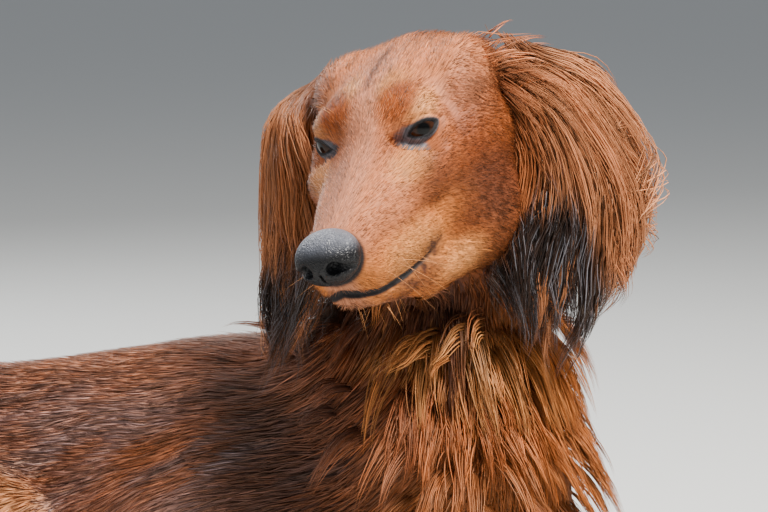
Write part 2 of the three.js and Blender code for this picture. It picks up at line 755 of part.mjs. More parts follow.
const HEAD_LOW = [-112, -66, -104];
const HEAD_HIGH = [98, 66, 46];
const fineNear = (middle, reach, fine, coarse) => (x) =>
  fine + (coarse - fine) * smoothstep(reach, reach + 50, Math.abs(x - middle));
const HEAD_CELLS = [
  fineNear(32, 52, 5, 9),
  fineNear(0, 30, 4.6, 8),
  fineNear(-22, 26, 4.6, 8),
];
const headFlat = headPiece(
  (q) => flesh(fromHead(q)),
  HEAD_LOW,
  HEAD_HIGH,
  HEAD_CELLS,
  0,
  HEAD_TOLERANCE,
);
const nose = noseSolid();
const eyes = { left: eyeBall(1, 0), right: eyeBall(-1, 0) };
const noseSocket = SHIFTS.reduce((n, shift) => n.add(nose.translate(scale(shift, CLEAR))), nose);
const head = [1, -1]
  .reduce((h, s) => h.subtract(eyeBall(s, CLEAR)).subtract(lidOpening(s)), headFlat)
  .intersect(headTerritory(0))
  .subtract(noseSocket)
  .subtract(mouthGroove());

const neckFlat = ahead(
  fleshIn([-75, -90, 62], [112, 80, 330], [10, 10, 12]).subtract(headTerritory(GAP)),
  NECK_BASE,
  NECK_NORMAL,
);
const torso = [1, -1].reduce(
  (t, s) =>
    t
      .subtract(boxSolid(...sideBox(FORE_BOX, s), GAP))
      .subtract(boxSolid(...sideBox(HIND_BOX, s), GAP)),
  behind(
    behind(
      aboveFloor(fleshIn([RUMP_X - 24, -100, -14], [112, 100, 200], [16, 12, 12])),
      NECK_BASE,
      NECK_NORMAL,
    ),
    TAIL_CUT,
    TAIL_AXIS,
  ),
);
// The tail is parted where it meets the floor
const tail = ahead(
  aboveFloor(
    fleshIn([RUMP_X - TAIL_LENGTH - 12, -50, -14], [RUMP_X + 30, 100, 130], [12, 6, 5.5], 0.8),
  ),
  TAIL_CUT,
  TAIL_AXIS,
);
const TAIL_BEND = 0.55; // how far along its path
const bendPoint = tailPath.getPoint(TAIL_BEND).toArray();
const bendAxis = tailPath.getTangent(TAIL_BEND).toArray();

// The legs, parted at the elbow, wrist, stifle and hock
function legParts(s) {
  const side = s > 0 ? "left" : "right";
  const cutFrom = (low, high, cells, box, tolerance) =>
    aboveFloor(fleshIn(...sideBox([low, high], s), cells, tolerance)).intersect(
      boxSolid(...sideBox(box, s)),
    );
  const at = (q) => mirrored(q, s);
  const fore = cutFrom([-62, 24, -14], [106, 112, 104], [10, 8, 8], FORE_BOX);
  const forepaw = cutFrom(
    [70, 24, -14],
    [156, 92, 50],
    [5, 5, 5.5],
    FORE_BOX,
    PAW_TOLERANCE,
  );
  const hind = cutFrom([-352, 34, -14], [-140, 140, 118], [12, 9, 9], HIND_BOX);
  const hindpaw = cutFrom(
    [-326, 60, -14],
    [-160, 126, 50],
    [6, 5, 5.5],
    HIND_BOX,
    PAW_TOLERANCE,
  );
  return {
    [`foreleg_${side}_upper`]: behind(fore, at(ELBOW), at(ELBOW_AXIS)),
    [`foreleg_${side}_forearm`]: behind(
      ahead(fore, at(ELBOW), at(ELBOW_AXIS)),
      at(WRIST),
      at(WRIST_AXIS),
    ),
    [`foreleg_${side}_paw`]: ahead(forepaw, at(WRIST), at(WRIST_AXIS)),
    [`hindleg_${side}_thigh`]: ahead(hind, at(SHANK), at(SHANK_AXIS)),
    [`hindleg_${side}_shank`]: ahead(
      behind(hind, at(SHANK), at(SHANK_AXIS)),
      at(HOCK),
      at(HOCK_AXIS),
    ),
    [`hindleg_${side}_paw`]: behind(hindpaw, at(HOCK), at(HOCK_AXIS)),
  };
}

// A flat, tapered lock through a row of centres, each with its way across and its outward way. Its
// section is a low triangle: flat below, with a ridge along its back
function lock(row, width, thickness) {
  const shape = [0.66, 1, 0.98, 0.74, 0.42];
  const body = row.slice(0, -1);
  const rings = body.map(({ at, across, out }, i) => {
    const taper = shape[Math.round((i * (shape.length - 1)) / (body.length - 1))];
    const [w, t] = [(width / 2) * taper, (thickness / 2) * (0.55 + 0.45 * taper)];
    const low = sub(at, scale(out, 0.7 * t));
    return [add(low, scale(across, w)), add(at, scale(out, 1.3 * t)), sub(low, scale(across, w))];
  });
  return solidOf(loft(rings, row[row.length - 1].at));
}

// The ears: a leather flap that hangs from the skull, bowed round its cup, and rows of locks on
// its outer face that spread like a fan past its edge. Each has a midrib, a way across from the
// front edge to the back edge, and half widths of flap and fan, all along its length
const EARS = {
  left: {
    side: 1,
    midrib: [
      [47, -41, 293],
      [76, -32, 269],
      [91, -27, 227],
      [86, -34, 189],
      [79, -40, 156],
      [71, -45, 122],
    ],
    across: [
      [0.1, 0, 1],
      [0.6, 0.3, 0.74],
      [0.82, 0.5, 0.28],
      [0.85, 0.5, 0.12],
      [0.85, 0.5, 0.1],
      [0.85, 0.5, 0.1],
    ],
  },
  right: {
    side: -1,
    midrib: [
      [-39, -24, 287],
      [-54, -30, 260],
      [-54, -37, 225],
      [-51, -46, 189],
      [-53, -52, 150],
      [-55, -56, 115],
    ],
    across: Array.from({ length: 6 }, () => [-0.517, 0.846, -0.1]),
  },
};
const FAN = [17, 34, 44, 38, 28, 17];
const FLAP = [13, 25, 31, 24, 0, 0];
const EAR_STATIONS = FAN.length - 1; // the last one lies past the tips of the middle locks
const vectors = (list) => list.map((q) => new THREE.Vector3(...q));
const smoothAt = (list, s) => {
  const x = clamp(s * (EAR_STATIONS - 1), 0, EAR_STATIONS - 1e-6);
  const i = Math.floor(x);
  return list[i] + (list[i + 1] - list[i]) * smoothstep(0, 1, x - i);
};
function earFrame(ear, s) {
  const t = clamp((s * (EAR_STATIONS - 1)) / EAR_STATIONS, 0, 1);
  const midrib = new THREE.CatmullRomCurve3(vectors(ear.midrib));
  const across = new THREE.CatmullRomCurve3(vectors(ear.across));
  const down = midrib.getTangent(t).toArray();
  const turn = across.getPoint(t).toArray();
  const side = unit(sub(turn, scale(down, dot(turn, down))));
  return { at: midrib.getPoint(t).toArray(), side, out: scale(cross(down, side), ear.side) };
}
// A point of the ear: s down its length, v across the fan from -1 to 1, h above its middle face
const EAR_BOW = 0.22;
function earPoint(ear, s, v, h) {
  const { at, side, out } = earFrame(ear, s);
  const fan = smoothAt(FAN, s);
  return add(at, add(scale(side, v * fan), scale(out, h - EAR_BOW * fan * v * v)));
}
const FLAP_THICKNESS = 5;
function earFlap(ear) {
  const rings = [-0.02, 0.1, 0.25, 0.38, 0.5, 0.6].map((s) => {
    const reach = smoothAt(FLAP, s) / smoothAt(FAN, s);
    const ring = (v, h) => earPoint(ear, s, v * reach, (h * FLAP_THICKNESS) / 2);
    return [
      ring(-1, 0),
      ring(-0.6, 0.9),
      ring(0, 1),
      ring(0.6, 0.9),
      ring(1, 0),
      ring(0.6, -0.9),
      ring(0, -1),
      ring(-0.6, -0.9),
    ];
  });
  return solidOf(loft(rings, earPoint(ear, 0.7, 0, 0)));
}
// Rows of ear locks: where they start and end, how many, how high they lie, and their size
const EAR_ROWS = [
  { from: 0.5, to: 1.08, count: 7, height: 2.6, width: 11.5, thickness: 2.5, spread: 0.92 },
  { from: 0.26, to: 0.92, count: 7, height: 5.4, width: 12, thickness: 2.5, spread: 0.97 },
  { from: 0.03, to: 0.64, count: 6, height: 8.2, width: 12.5, thickness: 2.5, spread: 0.93 },
];
const LOCK_STEPS = 5;
function earLocks(ear, seed) {
  const random = randomFrom(seed);
  const between = (low, high) => low + (high - low) * random();
  return EAR_ROWS.flatMap((row) =>
    Array.from({ length: row.count }, (_, k) => {
      const v = row.spread * ((2 * (k + 0.5)) / row.count - 1);
      const start = row.from + between(-0.03, 0.03);
      const end = row.to - 0.12 * v * v + between(-0.06, 0.06);
      const wave = between(0.04, 0.12);
      const phase = between(0, 2 * Math.PI);
      const hold = (smoothAt(FLAP, start) / smoothAt(FAN, start)) * 0.76;
      const centres = Array.from({ length: LOCK_STEPS + 1 }, (__, i) => {
        const t = i / LOCK_STEPS;
        const sway = wave * t * Math.sin(phase + 5 * t);
        const s = start + (end - start) * t;
        const reach = hold + (1 - hold) * smoothstep(0, 0.7, t);
        const h = -0.4 + (row.height + 0.4) * smoothstep(0, 0.3, t);
        return { s, v: v * reach + sway, h };
      });
      const rowOf = centres.map(({ s, v: across, h }) => {
        const { side, out } = earFrame(ear, s);
        return { at: earPoint(ear, s, across, h), across: side, out };
      });
      return lock(rowOf, row.width * between(0.9, 1.1), row.thickness);
    }),
  );
}
// Locks of the coat on the body: rows of centres that start inside the flesh and stay off the floor
const COAT_STEPS = 4;
const COAT_THICKNESS = 3;
const LOCK_SINK = 3;
const FLOOR_CLEAR = 0.8;
const offFloor = (q) => [q[0], q[1], Math.max(q[2], FLOOR_CLEAR + COAT_THICKNESS * 0.7)];
// One that hugs the body: it runs along a flow over the flesh and its tip stands off it
function huggingLock({ from, flow, long, width, lift, tip, sway }) {
  const row = [];
  let p = onto(flesh, from);
  for (let i = 0; i <= COAT_STEPS; i++) {
    const t = i / COAT_STEPS;
    const out = normalOf(flesh, p);
    const ahead = unit(sub(flow, scale(out, dot(flow, out))));
    const across = cross(out, ahead);
    const h = -LOCK_SINK + (lift + LOCK_SINK) * smoothstep(0, 0.55, t) + (tip - lift) * t * t;
    const at = add(p, add(scale(out, h), scale(across, sway * Math.sin(4.4 * t) * t)));
    row.push({ at: offFloor(at), across, out });
    p = onto(flesh, add(p, scale(ahead, long / COAT_STEPS)), 0, 3);
  }
  return lock(row, width, COAT_THICKNESS);
}
// One that hangs free: it starts one way, sinks towards a height and bends aside
function hangingLock({ from, way, long, width, to, sway }) {
  const ahead = unit([way[0], way[1], 0]);
  const aside = [-ahead[1], ahead[0], 0];
  const centre = (t) => {
    const fall = (from[2] - to) * (1 - (1 - t) ** 1.8);
    const bend = sway * Math.sin(4 * t) * t;
    return add(add(from, scale(ahead, long * t)), add([0, 0, -fall], scale(aside, bend)));
  };
  const row = Array.from({ length: COAT_STEPS + 1 }, (_, i) => {
    const t = i / COAT_STEPS;
    const run = unit(sub(centre(t + 0.02), centre(t - 0.02)));
    const out = unit(cross(run, aside));
    return { at: offFloor(centre(t)), across: aside, out: out[2] < 0 ? scale(out, -1) : out };
  });
  return lock(row, width, COAT_THICKNESS);
}

// The ruff: rows round the neck, each at a height above the plane of its base and between two
// angles from the chest, positive to the left
const degree = Math.PI / 180;
const RUFF = [
  { above: 60, from: -144, to: 60, count: 8, long: 42 },
  { above: 38, from: -142, to: 88, count: 10, long: 46 },
  { above: 15, from: -112, to: 92, count: 9, long: 48 },
];
const NECK_MIDDLE = [13, 4];
const NECK_RADIUS = 54;
function ruffLocks(seed) {
  const random = randomFrom(seed);
  const vary = (k) => k * (2 * random() - 1);
  return RUFF.flatMap((row) =>
    Array.from({ length: row.count }, (_, i) => {
      const turn = (row.from + ((row.to - row.from) * i) / (row.count - 1) + vary(4)) * degree;
      const x = NECK_MIDDLE[0] + NECK_RADIUS * Math.cos(turn);
      const y = NECK_MIDDLE[1] + NECK_RADIUS * Math.sin(turn);
      const base = NECK_BASE[2] - ((x - NECK_BASE[0]) * NECK_NORMAL[0]) / NECK_NORMAL[2];
      const aside = vary(0.3);
      return huggingLock({
        from: [x, y, base + row.above + vary(3)],
        flow: [0.12 - Math.sin(turn) * aside, Math.cos(turn) * aside, -1],
        long: row.long * (1 + vary(0.12)),
        width: 23,
        lift: 2.6,
        tip: 8,
        sway: vary(6),
      });
    }),
  );
}
// Chest, belly fringe and rump, all on the torso
function torsoLocks(seed) {
  const random = randomFrom(seed);
  const vary = (k) => k * (2 * random() - 1);
  const chest = [92, 70, 50].flatMap((height) =>
    [-30, -10, 10, 30].map((y) =>
      huggingLock({
        from: [84, y + vary(2), height + vary(3)],
        flow: [0.1, vary(0.25), -1],
        long: 38 + vary(4),
        width: 20,
        lift: 2.6,
        tip: 9,
        sway: vary(5),
      }),
    ),
  );
  const belly = [-142, -126, -110, -94, -78, -62].flatMap((x) =>
    [1, -1].map((s) =>
      hangingLock({
        from: [x + vary(3), 60 * s, 34 + vary(4)],
        way: [-1.6, s],
        long: 38 + vary(5),
        width: 17,
        to: 3,
        sway: vary(5),
      }),
    ),
  );
  const rump = [64, 42].flatMap((height) =>
    [-34, -12, 12, 34].map((y) =>
      hangingLock({
        from: [RUMP_X + 18 + Math.abs(y) * 0.25, y, height + vary(3)],
        way: [-1, y / 60 + vary(0.12)],
        long: 34 + vary(4),
        width: 19,
        to: height - 32,
        sway: vary(5),
      }),
    ),
  );
  return [...chest, ...belly, ...rump];
}
// Feathering of the legs: behind the elbow, along the forearm and on the thigh
function legLocks(s, seed) {
  const random = randomFrom(seed);
  const vary = (k) => k * (2 * random() - 1);
  const free = (from, way, long, to) =>
    hangingLock({
      from: mirrored(from, s),
      way: [way[0], way[1] * s],
      long: long + vary(4),
      width: 15,
      to,
      sway: vary(4),
    });
  return {
    upper: [46, 32, 18].map((z, i) => free([-26, 72, z], [-1, 0.28], 44 - 3 * i, 4 + 3 * (2 - i))),
    forearm: [74, 60, 46, 32].map((x) => free([x, 66, 15], [-1, 0.5], 34, 3)),
    thigh: [-244, -266, -288, -310].map((x, i) =>
      huggingLock({
        from: mirrored([x, 110, 70 - 4 * i], s),
        flow: [-0.75, vary(0.1), -0.75],
        long: 44 + vary(4),
        width: 19,
        lift: 2.4,
        tip: 7,
        sway: vary(5),
      }),
    ),
  };
}
// The tail's flag: locks to both sides of the tail, swept back, and a last one at its end
const FLAG = { from: 0.16, to: 0.95, count: 18 };
function flagLocks(seed) {
  const random = randomFrom(seed);
  const vary = (k) => k * (2 * random() - 1);
  const sides = Array.from({ length: FLAG.count }, (_, i) => {
    const t = FLAG.from + ((FLAG.to - FLAG.from) * (i + 0.5)) / FLAG.count;
    const along = tailPath.getTangent(t).toArray();
    const side = i % 2 ? 1 : -1;
    const way = [along[0] - 0.62 * side * along[1], along[1] + 0.62 * side * along[0]];
    const solid = hangingLock({
      from: tailPath.getPoint(t).toArray(),
      way,
      long: 32 + 26 * Math.sin(Math.PI * Math.min(1, 1.15 * t)) + vary(5),
      width: 17,
      to: 3,
      sway: vary(6),
    });
    return { t, solid };
  });
  const end = tailPath.getPoint(0.97).toArray();
  const way = tailPath.getTangent(0.97).toArray();
  const last = { t: 1, solid: hangingLock({ from: end, way, long: 42, width: 12, to: 3, sway: 3 }) };
  return [...sides, last];
}

// A claw on each toe, curved down, with its root in a socket of its own form
const CLAW_LENGTH = 12;
const CLAW_RADIUS = 2.1;
const CLAW_SIDES = 6;
function claw(root, grow) {
  const station = (t) => [CLAW_LENGTH * t, 0, -5.2 * t * t - 0.8 * t];
  const rings = [-0.3 - grow / CLAW_LENGTH, 0.15, 0.55].map((t) => {
    const radius = CLAW_RADIUS * (1 - 0.55 * Math.max(t, 0)) + grow;
    return Array.from({ length: CLAW_SIDES }, (_, j) => {
      const turn = (2 * Math.PI * (j + 0.5)) / CLAW_SIDES;
      const ring = [0, radius * 0.85 * Math.cos(turn), radius * 1.15 * Math.sin(turn)];
      return add(add(root, station(t)), ring);
    });
  });
  return solidOf(loft(rings, add(root, station(1 + grow / CLAW_LENGTH))));
}
function clawsOf(paw, s, toe) {
  return [-1.5, -0.5, 0.5, 1.5].map((k) => {
    const forward = toe.reach - 3.2 * Math.abs(k) + 11.5;
    return [paw[0] + forward, (paw[1] + toe.spread * k) * s, paw[2] - 3];
  });
}

// All nodes. The locks of each are cut clear of the flesh of its neighbours and of earlier locks
const flats = {
  head,
  neck: neckFlat,
  torso,
  tail_base: behind(tail, bendPoint, bendAxis),
  tail_end: ahead(tail, bendPoint, bendAxis),
};
for (const s of [1, -1]) {
  for (const [name, solid] of Object.entries(legParts(s))) flats[name] = solid;
}
const near = (a, b) => {
  const [p, q] = [a.boundingBox(), b.boundingBox()];
  return [0, 1, 2].every((i) => p.min[i] < q.max[i] + 1 && q.min[i] < p.max[i] + 1);
};
function withLocks(name, locks) {
  const grown = fused(locks);
  const others = Object.entries(flats).filter(([other, solid]) => other !== name && near(solid, grown));
  return flats[name].add(clearOf(grown, others.map(([, solid]) => solid)));
}
flats.ear_left = clearOf(fused([earFlap(EARS.left), ...earLocks(EARS.left, 11)]), [head, neckFlat]);
flats.ear_right = clearOf(
  fused([earFlap(EARS.right), ...earLocks(EARS.right, 23)]),
  [head, neckFlat, torso],
);
flats.neck = withLocks("neck", ruffLocks(31));
flats.torso = withLocks("torso", torsoLocks(47));
for (const s of [1, -1]) {
  const side = s > 0 ? "left" : "right";
  const locks = legLocks(s, 59 + s);
  const names = {
    upper: `foreleg_${side}_upper`,
    forearm: `foreleg_${side}_forearm`,
    thigh: `hindleg_${side}_thigh`,
  };
  for (const [part, name] of Object.entries(names)) flats[name] = withLocks(name, locks[part]);
}
const flag = flagLocks(71);
const flagOf = (kept) => flag.filter(({ t }) => kept(t)).map(({ solid }) => solid);
flats.tail_base = withLocks("tail_base", flagOf((t) => t < TAIL_BEND - 0.02));
flats.tail_end = withLocks("tail_end", flagOf((t) => t > TAIL_BEND + 0.02));

const paws = { foreleg: [FOREPAW, FORE_TOE], hindleg: [HINDPAW, HIND_TOE] };
for (const s of [1, -1]) {
  const side = s > 0 ? "left" : "right";
  node(`eye_${side}`, eyes[side], eyeball);
  for (const [leg, [paw, toe]] of Object.entries(paws)) {
    const pawName = `${leg}_${side}_paw`;
    clawsOf(paw, s, toe).forEach((root, i) => {
      flats[pawName] = flats[pawName].subtract(claw(root, GAP));
      node(`${leg}_${side}_claw_${i + 1}`, claw(root, 0), horn);
    });
  }
}
node("nose", nose, leather);
for (const [name, solid] of Object.entries(flats)) {
  node(name, solid, name.startsWith("ear") ? earCoat : coat);
}

// The origin is on the floor, at the middle of the whole figure
const extent = new THREE.Box3().setFromObject(group);
const middle = extent.getCenter(new THREE.Vector3());
group.children.forEach((mesh) => mesh.geometry.translate(-middle.x, -middle.y, 0));

export default group;
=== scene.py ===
"""A long-haired dachshund, life size, as a still model: its skin, coat, eyes, nose and claws.

Sizes are in millimetres in the dog's own frame, with +X towards the chest, +Y its left and +Z up,
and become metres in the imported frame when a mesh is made.
"""

import math

import bpy
import numpy as np
from mathutils import Matrix, Vector


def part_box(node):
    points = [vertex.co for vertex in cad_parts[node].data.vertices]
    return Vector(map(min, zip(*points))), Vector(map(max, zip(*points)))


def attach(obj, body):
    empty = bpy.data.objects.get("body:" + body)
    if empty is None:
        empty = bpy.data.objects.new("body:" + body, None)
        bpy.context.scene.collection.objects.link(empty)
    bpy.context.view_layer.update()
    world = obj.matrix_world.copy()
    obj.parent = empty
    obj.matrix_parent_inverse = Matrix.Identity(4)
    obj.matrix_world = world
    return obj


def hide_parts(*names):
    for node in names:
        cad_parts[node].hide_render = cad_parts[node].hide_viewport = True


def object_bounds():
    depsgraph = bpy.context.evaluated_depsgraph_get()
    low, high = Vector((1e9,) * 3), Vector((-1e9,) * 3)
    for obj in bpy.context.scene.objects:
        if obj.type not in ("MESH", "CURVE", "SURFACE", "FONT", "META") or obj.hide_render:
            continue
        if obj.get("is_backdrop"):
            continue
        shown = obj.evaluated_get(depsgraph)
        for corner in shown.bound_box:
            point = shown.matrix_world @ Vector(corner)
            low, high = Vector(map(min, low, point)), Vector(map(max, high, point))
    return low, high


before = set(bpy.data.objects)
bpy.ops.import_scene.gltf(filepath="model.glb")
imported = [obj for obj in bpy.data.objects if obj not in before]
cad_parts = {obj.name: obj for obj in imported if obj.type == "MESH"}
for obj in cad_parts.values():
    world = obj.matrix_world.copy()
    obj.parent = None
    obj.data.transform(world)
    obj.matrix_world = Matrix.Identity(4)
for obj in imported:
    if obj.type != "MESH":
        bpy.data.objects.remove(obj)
cad_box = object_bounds()

# Driving dimensions of the body
RUMP_X = -368
TAIL_LENGTH = 275
TORSO = np.array([  # x, top, bottom, half width
    [-338, 122, 2, 50],
    [-300, 132, -3, 60],
    [-250, 135.5, -4, 65],
    [-198, 139.5, -4, 69],
    [-150, 147, -4, 73],
    [-102, 155, -4, 75],
    [-60, 157, -4, 74],
    [-20, 151, -3, 66],
    [24, 132, 4, 51],
], float)
RUMP_CAP = 32
CHEST_CAP = 54
FOREPAW = (114, 56, 12)
HINDPAW = (-204, 99, 11)
PAWS = ((FOREPAW, 8.6, 21), (HINDPAW, 7.6, 22))  # place, spread and reach of the toes
TOE_SIZE = (13, 6.2, 9.5)

# Driving dimensions of the head, in its own frame: forward from the eyes, left, up
EYE_MIDDLE = np.array([0.0, -92, 262])
HEAD_FORWARD = (-0.159, -0.936, -0.315)
HEAD_UP_HINT = (-0.249, -0.271, 0.93)
EYE_RADIUS = 10.4
EYE_CENTRE = (-8.2, 21.2, -1.2)
GAZE = (0.79, 0.612, 0.05)
LID_THICKNESS = 2.2
CANTHUS_DEPTH = 7.8  # how far before the eye's centre the two planes of the opening meet
LID_ROLL = 0.16  # how far the opening is turned about the line of sight
LID_OPENING = (1.5, -1.3)  # slopes of the upper and the lower plane
LID_CLOSING = 0.5  # the lids close a little further here than in the solids
LID_EDGE = 1.2  # thickness of a lid at its edge
LID_BEVEL = 2.4  # how far from its edge a lid begins to thin
NOSE_CENTRE = (80, 0, -28.3)
NOSE_SIZE = (12.5, 15.5, 12)
MOUTH_LINE = [
    (82, 0, -47),
    (78, 8, -48.7),
    (61.5, 14, -53.4),
    (50, 17.5, -55),
    (40, 20.5, -55.6),
    (22, 26, -53.5),
    (14, 28, -50),
]

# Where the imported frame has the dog's own origin, from two flat cuts whose places are known
WRIST_X = 86.15
FORELEG_Y = 33
shift = np.array([
    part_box("foreleg_left_paw")[0].x * 1000 - WRIST_X,
    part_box("foreleg_left_upper")[0].y * 1000 - FORELEG_Y,
    0,
])


SIDES = {"left": 1, "right": -1}


# Vector helpers on arrays of points, one point a row
def length(p):
    return np.sqrt(np.einsum("...i,...i->...", p, p))


def unit(p):
    p = np.asarray(p, float)
    return p / np.maximum(length(p), 1e-9)[..., None]


def ramp(low, high, x):
    """From 0 to 1 between two values of x, smooth at both ends; it falls where low is above high"""
    t = np.clip((x - low) / (high - low), 0, 1)
    return t * t * (3 - 2 * t)


def mirrored(p, side):
    return (p[0], p[1] * side, p[2])


def columns(*parts):
    return np.stack(np.broadcast_arrays(*parts), -1)


def square_to(axis, way):
    """The part of each way that is square to an axis, at unit length"""
    return unit(way - axis * np.einsum("...i,...i->...", way, axis)[..., None])


head_forward = unit(HEAD_FORWARD)
head_left = unit(np.cross(HEAD_UP_HINT, head_forward))
head_up = np.cross(head_forward, head_left)
HEAD = np.array([head_forward, head_left, head_up])


def to_head(p):
    return (p - EYE_MIDDLE) @ HEAD.T


def from_head(q):
    return EYE_MIDDLE + np.asarray(q, float) @ HEAD


def noise(p, size, seed=0):
    """Smooth noise from -1 to 1 over cells of a size, the same for a point on every run"""
    q = np.asarray(p, float) / size + 31.7 * seed
    cell = np.floor(q)
    part = q - cell
    part = part * part * (3 - 2 * part)
    total = np.zeros(len(q))
    for c in range(8):
        corner = np.array([c & 1, (c >> 1) & 1, c >> 2])
        h = np.sin((cell + corner) @ np.array([127.1, 311.7, 74.7])) * 43758.5453
        weight = np.prod(np.where(corner, part, 1 - part), axis=1)
        total += weight * (h - np.floor(h))
    return 2 * total - 1


# Distance functions: negative inside
def ellipsoid(centre, radii):
    c, r = np.array(centre, float), np.abs(np.array(radii, float))

    def distance(p):
        q = (p - c) / r
        k0 = length(q)
        return k0 * (k0 - 1) / np.maximum(length(q / r), 1e-6)

    return distance


def cone(a, b, ra, rb):
    a, axis = np.array(a, float), np.subtract(b, a).astype(float)

    def distance(p):
        q = p - a
        t = np.clip(q @ axis / (axis @ axis), 0, 1)
        return length(q - t[:, None] * axis) - (ra + (rb - ra) * t)

    return distance


def smooth_min(a, b, k):
    h = np.maximum(k - np.abs(a - b), 0) / k
    return np.minimum(a, b) - h * h * k / 4


def blend(k, shapes):
    def distance(p):
        d = shapes[0](p)
        for shape in shapes[1:]:
            d = smooth_min(d, shape(p), k)
        return d

    return distance


def both(make, *values):
    """A shape and its mirror image, from its places and sizes on the left"""
    return [make(*[mirrored(v, s) if isinstance(v, tuple) else v for v in values]) for s in (1, -1)]


REACH = 50  # how far from its ball a shape is still measured


def within(centre, radius, shape):
    def distance(p):
        away = length(p - np.asarray(centre, float)) - radius
        near = away < REACH
        d = away.copy()
        if near.any():
            d[near] = shape(p[near])
        return d

    return distance


# Flesh of the head, in its own frame: skull, brows, cheeks, muzzle, lips and jaw
face_flesh = blend(14, [
    ellipsoid((-56, 0, -14), (50, 42, 41)),
    ellipsoid((-24, 0, -9), (34, 31, 31)),
    *both(ellipsoid, (-54, 31, 7), (25, 15, 17)),
    cone((-8, 0, -32), (60, 0, -37), 26, 15.5),
    cone((-8, 0, -4), (66, 0, -27), 15, 9),
    *both(ellipsoid, (-11, 18, 7), (9, 9, 7)),
    *both(cone, (-10, 21, -13), (36, 11, -27), 11, 9),
    *both(ellipsoid, (-44, 25, -34), (36, 21, 32)),
    *both(cone, (-46, 35, -20), (6, 26, -18.5), 11, 9),
    *both(cone, (-46, 22, -63), (20, 13, -65), 23, 10.5),
    *both(cone, (-14, 23.5, -42), (9, 17, -45), 9, 7.5),
])
muzzle_flesh = blend(7, [
    face_flesh,
    ellipsoid((67, 0, -38), (12, 15.5, 12)),
    *both(cone, (10, 10, -14), (64, 7, -28), 8, 8),
    ellipsoid((65, 0, -52), (12, 9.5, 8)),
    *both(cone, (20, 12, -62), (62, 4, -54), 10, 7.5),
    *both(cone, (18, 15.5, -44), (62, 8.5, -43), 10.5, 9.5),
])
lid_ball = EYE_RADIUS + LID_THICKNESS
head_flesh = blend(7, [
    muzzle_flesh,
    *both(ellipsoid, EYE_CENTRE, (lid_ball, lid_ball, lid_ball)),
])

# Flesh of the body, legs and tail
neck_flesh = blend(22, [
    cone((8, 0, 96), (14, 4, 165), 64, 50),
    cone((14, 4, 165), (20, 4, 222), 50, 43),
    cone((20, 4, 222), (19, -6, 262), 43, 40),
])


def stations_form(stations, start_cap, end_cap):
    """A long form through stations of x, top, bottom and half width, rounded off at both ends"""
    x = stations[:, 0]
    slopes = np.empty((len(x), 3))
    for i in range(len(x)):
        before, after = stations[max(i - 1, 0)], stations[min(i + 1, len(x) - 1)]
        slopes[i] = (after[1:] - before[1:]) / (after[0] - before[0])

    def distance(p):
        at = np.clip(p[:, 0], x[0], x[-1])
        i = np.clip(np.searchsorted(x, at, side="left") - 1, 0, len(x) - 2)
        span = (x[i + 1] - x[i])[:, None]
        t = (at[:, None] - x[i][:, None]) / span
        curve = (
            stations[i, 1:] * (1 + 2 * t) * (1 - t) ** 2
            + slopes[i] * span * t * (1 - t) ** 2
            + stations[i + 1, 1:] * t * t * (3 - 2 * t)
            - slopes[i + 1] * span * t * t * (1 - t)
        )
        top, bottom, half = curve.T
        high = (top - bottom) / 2
        cap = np.where(p[:, 0] < at, start_cap, end_cap)
        q = np.stack([(p[:, 0] - at) / cap, p[:, 1] / half, (p[:, 2] - (top + bottom) / 2) / high], 1)
        k0 = length(q)
        k1 = length(q / np.stack([cap, half, high], 1))
        return k0 * (k0 - 1) / np.maximum(k1, 1e-6)

    return distance


torso_flesh = blend(24, [
    stations_form(TORSO, RUMP_CAP, CHEST_CAP),
    *both(cone, (-45, 26, 132), (30, 48, 84), 17, 26),
])


def foreleg(s):
    return blend(12, [
        cone((36, 50 * s, 80), (-14, 64 * s, 38), 27, 22),
        ellipsoid((-24, 66 * s, 28), (22, 15, 24)),
        cone((-12, 64 * s, 19), (84, 58 * s, 13), 20, 14.5),
        ellipsoid((90, 57 * s, 13.5), (17, 15.5, 16)),
        ellipsoid((114, 56 * s, 12), (26, 19, 15)),
    ])


def hindleg(s):
    return blend(14, [
        cone((-296, 42 * s, 82), (-212, 70 * s, 62), 48, 36),
        ellipsoid((-198, 76 * s, 58), (36, 30, 37)),
        cone((-206, 80 * s, 32), (-290, 84 * s, 25), 25, 18),
        ellipsoid((-300, 85 * s, 22), (16, 13, 22)),
        cone((-296, 88 * s, 12), (-226, 97 * s, 11), 13, 13),
        ellipsoid((-204, 99 * s, 11), (27, 18, 14)),
    ])


def curve_through(points):
    """A centripetal Catmull-Rom curve: a function from parameters 0 to 1 to points"""
    knots = np.array(points, float)
    knots = np.vstack([2 * knots[0] - knots[1], knots, 2 * knots[-1] - knots[-2]])
    steps = np.maximum(length(np.diff(knots, axis=0)) ** 0.5, 1e-4)

    def at(t):
        t = np.atleast_1d(np.asarray(t, float))
        x = np.clip(t, 0, 1) * (len(knots) - 3)
        i = np.minimum(x.astype(int), len(knots) - 4)
        w = (x - i)[:, None]
        p0, p1, p2, p3 = (knots[i + k] for k in range(4))
        d0, d1, d2 = (steps[i + k][:, None] for k in range(3))
        m1 = ((p1 - p0) / d0 - (p2 - p0) / (d0 + d1) + (p2 - p1) / d1) * d1
        m2 = ((p2 - p1) / d1 - (p3 - p1) / (d1 + d2) + (p3 - p2) / d2) * d1
        return (
            p1
            + m1 * w
            + (-3 * p1 + 3 * p2 - 2 * m1 - m2) * w ** 2
            + (2 * p1 - 2 * p2 + m1 + m2) * w ** 3
        )

    return at


def tangent_of(curve, t, step=1e-3):
    t = np.atleast_1d(np.asarray(t, float))
    return unit(curve(np.minimum(t + step, 1)) - curve(np.maximum(t - step, 0)))


